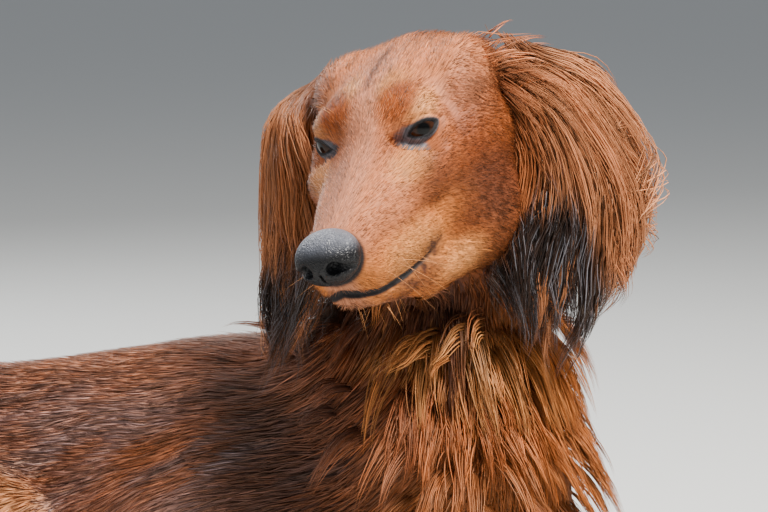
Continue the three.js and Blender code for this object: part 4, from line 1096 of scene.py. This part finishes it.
NOSE_CELL = 0.7


def make_nose():
    centre = from_head(NOSE_CENTRE)
    points, quads, _ = surface_net(nose_distance, centre - 20, centre + 20, NOSE_CELL)
    points = onto(nose_distance, points, 2, 0.3)
    q = to_head(points) - NOSE_CENTRE
    # the top of the nose paler: a painted reflection, mottled by noise
    top = ramp(1, 10, q[:, 2] - 0.25 * q[:, 0]) * (1 + 0.25 * noise(q, 2, 13))
    return mesh_object("nose_pad", points, triangles_of(quads), mixed(NOSE_BLACK, NOSE_TOP_SHEEN, top))


# Claws
CLAW_LENGTH = 12
CLAW_RADIUS = 2.1
CLAW_SIDES = 12
CLAW_RINGS = 9
CLAW_ROOT = (11.5, 0, -1)  # from the middle of its toe


def make_claws():
    turn = 2 * np.pi * np.arange(CLAW_SIDES) / CLAW_SIDES
    t = np.linspace(-0.3, 0.97, CLAW_RINGS)[:, None]
    radius = CLAW_RADIUS * (1 - 0.55 * np.clip(t, 0, 1)) * np.sqrt(np.clip((1 - t) * 2.2, 0, 1))
    x = np.broadcast_to(CLAW_LENGTH * t, (CLAW_RINGS, CLAW_SIDES))
    z = -5.2 * t * t - 0.8 * t + radius * 1.15 * np.sin(turn)
    form = columns(x, radius * 0.85 * np.cos(turn), z).reshape(-1, 3)
    roots = [
        middle + CLAW_ROOT
        for paw, spread, reach in PAWS
        for s in (1, -1)
        for middle in toe_middles(paw, spread, reach, s)
    ]
    sides = tube_faces(CLAW_RINGS, CLAW_SIDES)
    points = [form + root for root in roots]
    faces = [sides + i * len(form) for i in range(len(roots))]
    return mesh_object("claws", np.concatenate(points), np.concatenate(faces))


skin_points, skin_faces = make_skin()
skin_normals = normal_of(skin_distance, skin_points)
skin_colours = skin_markings(skin_points)
skin_maps = {"Lie": lie_map(skin_points) / 1000}
skin = mesh_object("skin", skin_points, skin_faces, skin_colours, skin_maps)
others = ("eye_", "ear_", "nose")
skin_nodes = [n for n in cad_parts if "claw" not in n and not n.startswith(others)]
settle(skin, skin_material(), skin_nodes)
for side, s in SIDES.items():
    settle(make_eye(side, s), eye_material(), [f"eye_{side}"])
settle(make_nose(), nose_material(), ["nose"])
horn, _, _ = shader(
    "horn", Base_Color=(0.020, 0.016, 0.014, 1), Roughness=0.35, Coat_Weight=0.2, Coat_Roughness=0.3,
)
settle(make_claws(), horn, [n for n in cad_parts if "claw" in n])

# Tufts of the coat: thin three-sided blades through rows of centres, joined in one mesh
TUFT_PATCH = 0.003  # how wide a tuft's patch is on the unwrap of the skin
# painted shade at the roots of the tufts, where the coat shades itself
ROOT_SHADE = 0.68
BLADE_DEPTH = 0.4  # thickness over width
COAT_SINK = 0.5  # how deep a tuft's root lies under the skin
COAT_FLOOR = 0.6  # the lowest that a tuft comes
random = np.random.default_rng(5)
uniform = random.uniform
weights = part_weights(skin_points)
coat_gloss = coat_material("coat", 0.46, 0.2)
face_gloss = coat_material("face_coat", 0.5, 0.2)


def blades(paths, outs, width, shape):
    """Vertices, faces and places along and across each blade, for paths of one number of points"""
    count, rows = paths.shape[:2]
    run = unit(np.gradient(paths, axis=1))
    across = unit(np.cross(outs, run))
    out = np.cross(run, across)
    w = (width[:, None] * shape[None, :-1] / 2)[..., None]
    h = w * BLADE_DEPTH
    body, a, o = paths[:, :-1], across[:, :-1], out[:, :-1]
    rings = np.stack([body - a * w - o * h * 0.6, body + o * h * 1.2, body + a * w - o * h * 0.6], 2)
    points = np.concatenate([rings.reshape(count, -1, 3), paths[:, -1:]], 1)
    faces = [(0, 1, 2)]
    for i in range(rows - 2):
        for j in range(3):
            a0, b0 = 3 * i + j, 3 * i + (j + 1) % 3
            faces += [(a0, b0 + 3, b0), (a0, a0 + 3, b0 + 3)]
    last, tip = 3 * (rows - 2), 3 * (rows - 1)
    faces += [(last + j, tip, last + (j + 1) % 3) for j in range(3)]
    faces = np.array(faces)[None] + (np.arange(count) * (tip + 1))[:, None, None]
    t = np.append(np.repeat(np.linspace(0, 1, rows)[:-1], 3), 1)
    x = np.append(np.tile([-1.0, 0, 1], rows - 1), 0)
    return points.reshape(-1, 3), faces.reshape(-1, 3), t, x


def coat_piece(name, gloss, paths, outs, width, taper, colours, unwrapped):
    """One piece of coat: its taper as places and widths, and a colour for each point of each path"""
    rows = paths.shape[1]
    points, faces, t, x = blades(paths, outs, width, np.interp(np.linspace(0, 1, rows), *taper))
    row = np.append(np.repeat(np.arange(rows - 1), 3), rows - 1)
    uv = (unwrapped[:, None] + columns(x * 0.5, t - 0.5) * TUFT_PATCH).reshape(-1, 2)
    piece = mesh_object(name, points, faces, colours[:, row].reshape(-1, 3), {"OFBake": uv})
    settle(piece, gloss)


def scattered(count, weight):
    """Places on the skin, more where the weight is more, with the skin's normal there"""
    a, b, c = (skin_points[skin_faces[:, k]] for k in range(3))
    share = length(np.cross(b - a, c - a)) * weight[skin_faces].mean(axis=1)
    chosen = skin_faces[random.choice(len(skin_faces), count, p=share / share.sum())]
    u, v = np.sqrt(random.random(count)), random.random(count)
    bary = columns(1 - u, u * (1 - v), u * v)
    at, n = (np.einsum("nk,nkj->nj", bary, values[chosen]) for values in (skin_points, skin_normals))
    return at, unit(n)


def lying_paths(roots, normals, lie, long, lift, rows):
    """Rows of centres that run along the lie over the skin and rise to a height above it"""
    p, out = roots, normals
    path, outs = [], []
    for i in range(rows):
        h = -COAT_SINK + (lift + COAT_SINK) * (i / (rows - 1)) ** 1.2
        path.append(p + out * h[:, None])
        outs.append(out)
        p = p + lie * (long / (rows - 1))[:, None]
        if rows > 2 and i + 1 < rows:
            out = normal_of(flesh, p)
            p = p - out * np.clip(flesh(p) + coat_depth(p), -3, 3)[:, None]
            lie = square_to(out, lie)
    return np.stack(path, 1), np.stack(outs, 1)


# Unwraps of the skin's own shape: each by the axis of a long form, in a chart of low and high corners
WHOLE, LEFT_HALF, RIGHT_HALF = (0, 0, 1, 1), (0, 0, 0.5, 1), (0.5, 0, 1, 1)
HEAD_AXIS = (-20, -120, 262), (30, 10, 262)
NECK_AXIS = (13, 4, 90), (19, -6, 262)
TORSO_AXIS = (-400, 0, 70), (80, 0, 70)
FORELEG_AXIS = (-50, 60, 30), (150, 56, 12)
HINDLEG_AXIS = (-350, 70, 50), (-150, 90, 40)
TAIL_AXIS = (RUMP_X, 0, 90), (RUMP_X - TAIL_LENGTH, 60, 4)


def round_chart(ends, chart=WHOLE):
    """An unwrap along an axis and round it"""
    start, end = np.array(ends, float)
    axis = unit(end - start)
    first = unit(np.cross(axis, [0.3, 0.2, 1]))
    second = np.cross(axis, first)
    low, high = np.array(chart[:2]), np.array(chart[2:])

    def unwrapped(p):
        away = p - start
        u = np.arctan2(away @ second, away @ first) / (2 * math.pi) + 0.5
        v = np.clip(away @ axis / length(end - start), 0, 1)
        return low + (high - low) * (0.02 + 0.96 * columns(u, v))

    return unwrapped


def paired_chart(ends, size=1, corner=(0, 0)):
    """Charts side by side for the left and the right limb, from the ends of the left one's axis"""
    left = round_chart(ends, LEFT_HALF)
    right = round_chart([mirrored(end, -1) for end in ends], RIGHT_HALF)
    return lambda p: np.where(p[:, 1:2] > 0, left(p), right(p)) * size + corner


def floor_clear(paths):
    paths[..., 2] = np.maximum(paths[..., 2], COAT_FLOOR + 0.02 * np.arange(paths.shape[1]))
    return paths


def strand_colours(at, rows, tip=1.15, contrast=0.3):
    """The markings, with darker and paler strands that run together in streaks"""
    chance = random.random(len(at))
    tone = 1 + contrast * uniform(-1, 1, len(at)) + 0.45 * streaks(at, 3.5, 31)
    tone = tone * np.where(chance < 0.12, 0.5, np.where(chance > 0.9, 1.5, 1))
    # painted shade at the root, paler towards the tip
    shade = ROOT_SHADE + (tip - ROOT_SHADE) * ramp(0, 0.6, np.linspace(0, 1, rows))
    warmth = uniform(-1, 1, (len(at), 1)) * [0, 0.12, 0.28]
    colour = markings(at) * np.clip(tone, 0.25, 1.9)[:, None] * (1 + warmth)
    return colour[:, None] * shade[None, :, None]


def short_coat(
    name, where, count, long, width, lift, rows, chart, swing=0.3, gloss=coat_gloss, contrast=0.3,
):
    """A piece of short coat: where and how many tufts, their length, width, lift, rows and swing"""
    at, n = scattered(count, where)
    lie = lie_of(at, n)
    angle = swing * noise(at, 26, 41) + 0.5 * swing * noise(at, 7, 43) + random.normal(0, 0.06, count)
    lie = unit(lie + np.cross(n, lie) * angle[:, None])
    span = long(at) * uniform(0.75, 1.2, count)
    rise = lift(at) * uniform(0.5, 1.3, count)
    paths, outs = lying_paths(at, n, lie, span, rise, rows)
    w = width * uniform(0.75, 1.25, count)
    coat_piece(
        name, gloss, floor_clear(paths), outs, w, ([0, 0.4, 0.75, 1], [0.8, 1.0, 0.8, 0.0]),
        strand_colours(at, rows, contrast=contrast), chart(at),
    )


head_q = to_head(skin_points)
eye_away = np.minimum(*[length(from_eye(head_q, s)) for s in (1, -1)])
lip_away = along_line(mouth_points, head_q)[0]
bare = ramp(11.5, 12.5, eye_away) * ramp(1.8, 3.4, lip_away)
for s in (1, -1):
    edge, reach, _, away = lid_rim(head_q, s)
    bare *= np.maximum(ramp(reach, reach + 1.0, edge), away > 20)
bare *= ramp(1.05, 1.25, nose_away(head_q))
front = ramp(-70, 0, head_q[:, 0])
x, y, z = skin_points.T
short_coat(
    "coat_head", weights["head"] * bare * (0.6 + 0.6 * front), 43000,
    lambda p: 4.0 + 6.0 * ramp(10, -75, to_head(p)[:, 0]), 0.55,
    lambda p: 0.8 + 0.7 * ramp(0, -75, to_head(p)[:, 0]), 2,
    round_chart(HEAD_AXIS), 0.16, face_gloss, 0.7,
)
for side, s in SIDES.items():
    short_coat(
        f"coat_torso_{side}", (y * s > -6) * weights["torso"] * (z > 6), 15500,
        lambda p: 19 + 5 * ramp(80, 20, p[:, 2]), 1.0,
        lambda p: 0.8 + 0.45 * coat_depth(p), 3, round_chart(TORSO_AXIS),
    )
short_coat(
    "coat_neck", weights["neck"] * (z > 80), 10000,
    lambda p: 16 + 16 * np.maximum(ramp(165, 130, p[:, 2]), ramp(15, -25, p[:, 0])), 1.0,
    lambda p: 1.0 + 0.7 * coat_depth(p), 3, round_chart(NECK_AXIS),
)
short_coat(
    "coat_forelegs", weights["foreleg"] * (z > 1), 17000,
    lambda p: 6 + 10 * ramp(90, 10, p[:, 0]), 0.8,
    lambda p: 0.5 + 0.5 * coat_depth(p), 2, paired_chart(FORELEG_AXIS), 0.15,
)
short_coat(
    "coat_hindlegs", weights["hindleg"] * (z > 1), 10500,
    lambda p: 8 + 10 * ramp(20, 60, p[:, 2]), 1.0,
    lambda p: 0.5 + 0.6 * coat_depth(p), 3, paired_chart(HINDLEG_AXIS), 0.2,
)
short_coat(
    "coat_tail", weights["tail"] * (z > 1), 4500,
    lambda p: 20, 1.1, lambda p: 2.0, 3, round_chart(TAIL_AXIS),
)

# The ears, by the middle line of each, which way is across it, and the width of hair and flap
EARS = {
    "left": {
        "midrib": [
            (47, -41, 293), (76, -32, 269), (91, -27, 227),
            (86, -34, 189), (79, -40, 156), (71, -45, 122),
        ],
        "across": [
            (0.1, 0, 1), (0.6, 0.3, 0.74), (0.82, 0.5, 0.28),
            (0.85, 0.5, 0.12), (0.85, 0.5, 0.1), (0.85, 0.5, 0.1),
        ],
    },
    "right": {
        "midrib": [
            (-39, -24, 287), (-54, -30, 260), (-54, -37, 225),
            (-51, -46, 189), (-53, -52, 150), (-55, -56, 115),
        ],
        "across": [(-0.517, 0.846, -0.1)] * 6,
    },
}
FAN = np.array([17, 34, 44, 38, 28, 17], float)
FLAP = np.array([13, 25, 31, 24, 0, 0], float)

# Long hair of ruff, chest, belly, legs and tail: locks that hang, each a bundle of strands
LOCK_STEPS = 12
STRAND_ROWS = 7


def lock_middles(at, n, way, long, droop, stand):
    """Middle lines of locks that leave the skin and fall under their own weight, clear of the body"""
    heading = unit(way + n * stand)
    p = at - n * 2
    path, outs = [p], [n]
    for i in range(1, LOCK_STEPS):
        heading = unit(heading + np.array([0, 0, -droop / LOCK_STEPS]))
        moved = p + heading * (long / (LOCK_STEPS - 1))[:, None]
        out = normal_of(flesh, moved)
        moved = moved + out * np.clip(min(i, 3) - 1 - flesh(moved), 0, 5)[:, None]
        moved[:, 2] = np.maximum(moved[:, 2], 1.5)
        heading = unit(moved - p)
        p = moved
        path.append(p)
        outs.append(out)
    return np.stack(path, 1), np.stack(outs, 1)


def strands_of(path, outs, each, spread, wave):
    """Strands of each lock, spread at the root, that wave together and draw in to its tip"""
    locks, steps = path.shape[:2]
    own = np.repeat(np.arange(locks), each)
    n = len(own)
    t = np.linspace(0, 1, STRAND_ROWS)[None] * uniform(0.7, 1.0, n)[:, None]
    i = np.minimum((t * (steps - 1)).astype(int), steps - 2)
    part = (t * (steps - 1) - i)[..., None]
    own_row = own[:, None]
    middle, out = (v[own_row, i] * (1 - part) + v[own_row, i + 1] * part for v in (path, outs))
    out = unit(out)
    across = unit(np.cross(out, unit(np.gradient(middle, axis=1))))
    gather = 1 - 0.7 * ramp(0.1, 1, t)
    phase = uniform(0, 2 * math.pi, locks)[own][:, None]
    bend = phase + uniform(2, 5, locks)[own][:, None] * t
    astray = random.normal(0, 0.45 * spread, n)[:, None] * t ** 2
    aside = random.normal(0, spread, n)[:, None] * gather + astray
    aside = aside + wave * ramp(0.1, 0.8, t) * np.sin(bend)
    rise = uniform(-0.5, 0.8, n)[:, None] * spread * gather * ramp(0, 0.3, t)
    rise = rise + 0.5 * wave * ramp(0.2, 1, t) * (1 + np.cos(bend))
    return middle + across * aside[..., None] + out * rise[..., None], out


def long_coat(name, *groups):
    """A piece of long coat, from groups of locks"""
    paths, outs, charts = [], [], []
    for where, locks, each, long, droop, stand, spread, wave, turn, chart in groups:
        at, n = scattered(locks, where)
        way = unit(lie_of(at, n) + turn * columns(1, np.sign(at[:, 1]), 1))
        middle, out = lock_middles(at, n, way, uniform(*long, locks), droop, stand)
        strands, out = strands_of(middle, out, each, spread, wave)
        paths.append(strands)
        outs.append(out)
        charts.append(chart(strands[:, 0]))
    paths, outs, charts = (np.concatenate(x) for x in (paths, outs, charts))
    roots = paths[:, 0].copy()
    width = uniform(0.5, 1.0, len(paths))
    coat_piece(
        name, coat_gloss, floor_clear(paths), outs, width,
        ([0, 0.2, 0.6, 1], [0.7, 1.0, 0.8, 0.0]), strand_colours(roots, STRAND_ROWS, 1.25), charts,
    )


torso, neck, fore, hind = (weights[name] for name in ("torso", "neck", "foreleg", "hindleg"))
neck_front = neck * ramp(-20, 30, x) * ramp(95, 120, z) * ramp(186, 168, z)
neck_back = neck * ramp(10, -20, x) * (z > 120) * (z < 225)
chest_front = torso * ramp(5, 45, x) * ramp(20, 50, z)
belly = torso * ramp(45, 15, z) * ramp(4, 8, z) * (x < -10) * (x > RUMP_X + 20)
elbows = fore * ramp(60, 10, x) * ramp(60, 35, z) * (z > 5)
thighs = hind * ramp(-270, -320, x) * (z > 8)
rump = torso * ramp(RUMP_X + 50, RUMP_X + 10, x) * (z > 30)
crown = weights["head"] * ramp(18, 8, length(skin_points - EARS["left"]["midrib"][0]))
curls = neck * ramp(14, 22, x) * ramp(150, 158, z) * ramp(180, 172, z) * (y < 0)
# Each group: where, how many locks, strands in each, length, droop, stand off the skin, spread and
# wave of the strands, turn from the lie (its second number is away from the middle), and chart
neck_chart, chest_chart = round_chart(NECK_AXIS, LEFT_HALF), round_chart(TORSO_AXIS, RIGHT_HALF)
long_coat(
    "coat_ruff",
    (neck_front, 170, 15, (40, 66), 1.6, 0.3, 3.0, 2.0, (0, 0, 0), neck_chart),
    (neck_back, 60, 13, (26, 40), 1.2, 0.0, 2.6, 1.4, (0, 0, 0), neck_chart),
    (crown, 16, 6, (16, 32), 1.0, 0.15, 3.6, 2.5, (2.2, 0, 2.4), neck_chart),
    (curls, 12, 14, (34, 58), 0.9, 0.35, 3.4, 4.0, (-3.0, 0, 1.1), neck_chart),
    (chest_front, 130, 15, (42, 70), 1.9, 0.15, 3.0, 1.5, (0, 0, 0), chest_chart),
)
belly_chart, rump_chart = (round_chart(TORSO_AXIS, (u, 0, u + 0.5, 0.5)) for u in (0, 0.5))
elbow_chart = paired_chart(FORELEG_AXIS, 0.5, (0, 0.5))
thigh_chart = paired_chart(HINDLEG_AXIS, 0.5, (0.5, 0.5))
long_coat(
    "coat_fringe",
    (belly, 110, 11, (26, 44), 1.4, 0.15, 2.6, 1.4, (0, 0.6, 0), belly_chart),
    (elbows, 80, 11, (20, 34), 1.0, 0.2, 2.2, 1.4, (0, 0.6, 0), elbow_chart),
    (thighs, 90, 11, (22, 38), 1.6, 0.0, 2.8, 1.4, (0, 0, -0.9), thigh_chart),
    (rump, 60, 11, (24, 42), 1.8, 0.0, 2.8, 1.4, (0, 0, -0.9), rump_chart),
)
long_coat(
    "coat_flag",
    (
        weights["tail"] * (z > 1), 170, 13, (40, 75), 1.6, 0.02, 2.8, 2.2, (0, 0.3, 0),
        round_chart(TAIL_AXIS),
    ),
)

# Whiskers and the longer hairs of brows and chin, in the head's frame: place, half size of the bed,
# way, length, and how many on each side
WHISKER_WIDTH = 0.26
WHISKER_BEDS = [
    ((52, 15, -40), (8, 1, 5), (0.1, 1, -0.25), (20, 34), 9),
    ((44, 6, -63), (14, 5, 1), (-0.2, 0.2, -1), (7, 15), 14),
    ((-2, 17, 13), (3, 3, 1), (0.5, 0.3, 1), (12, 18), 3),
]


def moved_out(distance, p, steps, step):
    """Points moved outwards from a surface, in steps of equal length"""
    for _ in range(steps):
        p = p + step * normal_of(distance, p)
    return p


def make_whiskers():
    roots, ways, spans = [], [], []
    for place, bed, way, long, count in WHISKER_BEDS:
        for s in (1, -1):
            q = np.array(mirrored(place, s)) + uniform(-1, 1, (count, 3)) * bed
            roots.append(moved_out(skin_distance, from_head(q), 4, 0.4))
            ways.append(unit(mirrored(way, s) + random.normal(0, 0.25, (count, 3))) @ HEAD)
            spans.append(uniform(*long, count))
    roots, ways, spans = (np.concatenate(x) for x in (roots, ways, spans))
    t = np.linspace(0, 1, STRAND_ROWS)[None, :, None]
    paths = roots[:, None] + ways[:, None] * spans[:, None, None] * t
    paths = paths + np.array([0, 0, -0.22]) * spans[:, None, None] * t ** 2
    outs = np.repeat(normal_of(skin_distance, roots)[:, None], STRAND_ROWS, 1)
    tone = np.where(random.random(len(roots))[:, None] < 0.6, TAN * 1.3, MAHOGANY)
    colours = np.repeat(tone[:, None], STRAND_ROWS, 1)
    width = np.full(len(roots), WHISKER_WIDTH)
    charts = round_chart(HEAD_AXIS)(roots)
    coat_piece("whiskers", face_gloss, paths, outs, width, ([0, 1], [1, 0]), colours, charts)


make_whiskers()

# The ears: a flap of leather and long hair that spreads like a fan from it
EAR_STATIONS = len(FAN) - 1
EAR_LENGTH = 150
EAR_BOW = 0.22
FLAP_THICKNESS = 5


def station_value(values, s):
    x = np.clip(s * (EAR_STATIONS - 1), 0, EAR_STATIONS - 1e-6)
    i = x.astype(int)
    return values[i] + (values[i + 1] - values[i]) * ramp(0, 1, x - i)


def ear_point(ear, side, s, v, h):
    """Points of an ear, and which way is out: s down its length, v across its fan, h above it"""
    t = np.clip(s * (EAR_STATIONS - 1) / EAR_STATIONS, 0, 1)
    midrib = curve_through(ear["midrib"])
    down = tangent_of(midrib, t)
    across = square_to(down, curve_through(ear["across"])(t))
    out = np.cross(down, across) * side
    fan = station_value(FAN, s)
    start = midrib(t) + down * (np.minimum(s, 0) * EAR_LENGTH)[:, None]
    return start + across * (v * fan)[:, None] + out * (h - EAR_BOW * fan * v * v)[:, None], out


def make_flap(name, ear, side):
    rows, around = 22, 28
    turn = np.tile(np.linspace(0, 2 * math.pi, around, endpoint=False), rows)
    s = np.repeat(np.linspace(0.1, 0.66, rows), around)
    v = np.cos(turn) * station_value(FLAP, s) / station_value(FAN, s)
    points, _ = ear_point(ear, side, s, v, np.sin(turn) * FLAP_THICKNESS * 0.35)
    colour = np.tile(RED * 0.45, (len(points), 1))
    lie = columns(s * 160, v * 40) / 1000
    return mesh_object(name, points, tube_faces(rows, around), colour, {"Lie": lie})


EAR_ROWS = 8
EAR_LOCKS = 162
LOCK_STRANDS = 27
LEFT_WISPS = 9
RIGHT_DROP = 4  # how far the right ear's hair is lowered at its root
ROOT_STEPS, ROOT_STEP = 3, 2.5  # how roots that lie in the flesh are moved outwards


def ear_colour(side, s, v, chance, strand):
    """Red-brown above with painted shade at the root, black locks that begin at different heights
    with painted grey-blue sheen on some strands, and some red-brown tips
    """
    outer = v * side
    start = 0.80 - 0.38 * np.exp(-((outer + 0.32) / 0.58) ** 2) if side > 0 else 0.70
    edge = start + 0.16 * (chance - 0.5)
    black = ramp(edge - 0.05, edge + 0.08, s) * (chance <= 0.95)
    top = mixed(RED, EAR_GOLD, 0.25 + 0.5 * chance + 0.3 * outer * side)
    top = top * np.where(strand < 0.1, 0.22, np.where(strand > 0.9, 1.35, 1))[..., None]
    return painted(
        top,
        # painted shade at the root of the ear
        (MAHOGANY, (0.6 if side > 0 else 0.85) * ramp(0.2, 0.0, s)),
        # black hair, some strands with a painted grey-blue sheen
        (np.where((strand > 0.76)[..., None], BLUE_SHEEN, BLACK), 0.96 * black),
        (RED * 0.8, 0.8 * ramp(0.88, 1.04, s) * (strand > 0.45) * (strand < 0.8)),
    )


def per_strand(values):
    return np.repeat(values, LOCK_STRANDS)[:, None]


def ear_hair(name, ear, side, locks, wisps):
    """Locks, each a bundle of strands that wave together and draw in towards its tip"""
    start = np.append(uniform(-0.06, 0.6, locks), uniform(-0.04, 0.04, wisps))
    loose = np.append(np.zeros(locks), np.ones(wisps))
    locks += wisps
    v0 = uniform(-1, 1, locks)
    v0 = np.sign(v0) * np.abs(v0) ** 0.85 * (1 - 0.55 * loose)
    reach = uniform(0.42, 0.62, locks)
    limit = 1.1 - 0.1 * v0 ** 2 - 0.52 * ramp(0.2, 1, v0 * side) * (side > 0)
    end = np.minimum(start + reach, limit + uniform(-0.12, 0.05, locks))
    end = np.where(loose > 0, start + uniform(0.2, 0.36, locks), end)
    height = uniform(-3, 8.0, locks)
    wave = uniform(0.02, 0.08, locks)
    phase = uniform(0, 2 * math.pi, locks)
    turns = uniform(4, 8, locks)
    chance = random.random(locks)
    each_lock = (start, loose, v0, end, height, wave, phase, turns, chance)
    start, loose, v0, end, height, wave, phase, turns, chance = map(per_strand, each_lock)
    n = len(start)
    t = np.linspace(0, 1, EAR_ROWS)[None]
    aside = random.normal(0, 0.075, (n, 1))
    deep = random.normal(0, 1.5, (n, 1)) * (1 + loose)
    early = uniform(-0.05, 0.05, (n, 1))
    late = uniform(-0.10, 0.05, (n, 1))
    s = (start + early) + (end + late - start - early) * t
    hold = station_value(FLAP, np.maximum(start, 0)) / station_value(FAN, np.maximum(start, 0)) * 0.95
    spread = hold + (1 - hold) * ramp(0, 0.7, t)
    gather = 1 - 0.65 * ramp(0.3, 1, t)
    grown = ramp(0.1, 0.9, t) * (0.5 + 1.5 * ramp(0.35, 0.75, s))
    bend = phase + turns * (t + 0.4 * s)
    v = v0 * spread + aside * gather + wave * grown * np.sin(bend)
    settled = ramp(-0.06, 0.25, s)
    h = height * settled + deep * gather * settled + 2.6 * grown * np.cos(bend)
    h = h - 3 * ramp(0.08, -0.05, s)
    h = h + loose * per_strand(uniform(6, 20, locks)) * t ** 1.5
    found = ear_point(ear, side, s.ravel(), v.ravel(), h.ravel())
    paths, outs = (a.reshape(n, EAR_ROWS, 3) for a in found)
    if side < 0:
        paths[..., 2] -= RIGHT_DROP * ramp(0.3, 0, s)
    off_skull = flesh(paths[:, 0])
    rooted = (s[:, 0] < 0.12) & (off_skull > -2) & (off_skull < 14)
    pull = moved_out(flesh, paths[rooted, 0], ROOT_STEPS, ROOT_STEP) - paths[rooted, 0]
    if side < 0:
        pull[:, 2] = np.minimum(pull[:, 2], 0)
    paths[rooted] += pull[:, None] * np.clip(1 - np.arange(EAR_ROWS) / 2.6, 0, 1)[None, :, None]
    width = uniform(0.4, 0.75, n) * np.where(loose[:, 0] > 0, 0.6, 1)
    strand = random.random((n, 1))
    colours = ear_colour(side, s, v, chance, strand) * uniform(0.82, 1.18, (n, 1, 1))
    colours = colours * per_strand(uniform(0.75, 1.25, locks))[..., None]
    # painted shade at the roots of the ear's strands
    colours = colours * (0.7 + 0.3 * ramp(0, 0.4, t))[..., None]
    unwrapped = columns(0.5 + 0.45 * v[:, 0], 0.05 + 0.85 * np.clip(s[:, 0] + 0.2, 0, 1))
    coat_piece(
        name, coat_gloss, paths, outs, width, ([0, 0.15, 0.6, 1], [0.7, 1, 0.8, 0]),
        colours, unwrapped,
    )


flap_material = skin_material()
for side, s in SIDES.items():
    flap = make_flap(f"ear_{side}_flap", EARS[side], s)
    settle(flap, flap_material, [f"ear_{side}"])
    ear_hair(f"ear_{side}_hair", EARS[side], s, EAR_LOCKS, LEFT_WISPS if s > 0 else 0)

# Floor, light and camera
FLOOR_HALF = 12
WORLD_COLOUR, WORLD_STRENGTH = (0.82, 0.86, 0.92, 1), 0.4
floor = placed("floor", bpy.data.meshes.new("floor"))
corners = [(FLOOR_HALF * a, FLOOR_HALF * b, 0) for a, b in ((-1, -1), (1, -1), (1, 1), (-1, 1))]
floor.data.from_pydata(corners, [], [(0, 1, 2, 3)])
pale, _, _ = shader("pale_floor", Base_Color=(0.62, 0.63, 0.62, 1), Roughness=0.9)
floor.data.materials.append(pale)
floor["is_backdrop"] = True

world = bpy.data.worlds.new("studio")
world.use_nodes = True
sky = world.node_tree.nodes["Background"]
feed(world.node_tree, sky, Color=WORLD_COLOUR, Strength=WORLD_STRENGTH)
bpy.context.scene.world = world

AZIMUTH = math.radians(12)
ELEVATION = math.radians(6)
VIEW_DISTANCE = 1.8
PIXELS_PER_METRE = 2120  # at the eyes
EYES_AT_PIXEL = (371, 137)
FRAME_PIXELS = (768, 512)
SENSOR = 36
right = Vector((math.cos(AZIMUTH), math.sin(AZIMUTH), 0))
back = Vector((
    math.sin(AZIMUTH) * math.cos(ELEVATION),
    -math.cos(AZIMUTH) * math.cos(ELEVATION),
    math.sin(ELEVATION),
))
up = back.cross(right)
eyes_at = Vector(metres(EYE_MIDDLE))
aside = (EYES_AT_PIXEL[0] - FRAME_PIXELS[0] / 2) / PIXELS_PER_METRE
above = (FRAME_PIXELS[1] / 2 - EYES_AT_PIXEL[1]) / PIXELS_PER_METRE
camera = placed("camera", bpy.data.cameras.new("camera"))
camera.data.sensor_width = SENSOR
camera.data.lens = SENSOR * PIXELS_PER_METRE * VIEW_DISTANCE / FRAME_PIXELS[0]
place = eyes_at + back * VIEW_DISTANCE - right * aside - up * above
camera.matrix_world = Matrix.Translation(place) @ Matrix((right, up, back)).transposed().to_4x4()
camera.data.clip_start = 0.05
bpy.context.scene.camera = camera

LAMP_DISTANCE = 1.7
LAMPS_AT = eyes_at + Vector((-0.08, 0, -0.1))  # where the lamps point


def softbox(name, toward, size, power, colour=(1, 1, 1)):
    lamp = placed(name, bpy.data.lights.new(name, "AREA"))
    lamp.data.shape = "DISK"
    lamp.data.size = size
    lamp.data.energy = power
    lamp.data.color = colour
    way = (right * toward[0] + up * toward[1] + back * toward[2]).normalized()
    lamp.location = LAMPS_AT + way * LAMP_DISTANCE
    lamp.rotation_mode = "QUATERNION"
    lamp.rotation_quaternion = way.to_track_quat("Z", "Y")


softbox("key", (0.62, 1.15, 0.42), 0.55, 95, (1, 0.95, 0.88))
softbox("fill", (-0.9, 0.35, 0.8), 1.6, 7, (0.9, 0.95, 1))
softbox("rim", (-0.5, 0.9, -0.9), 1.0, 22)

bpy.context.view_layer.update()
model_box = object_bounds()
boxes = {"cad": cad_box, "visual": model_box}
{k: [list(v[0]), list(v[1])] for k, v in boxes.items()}
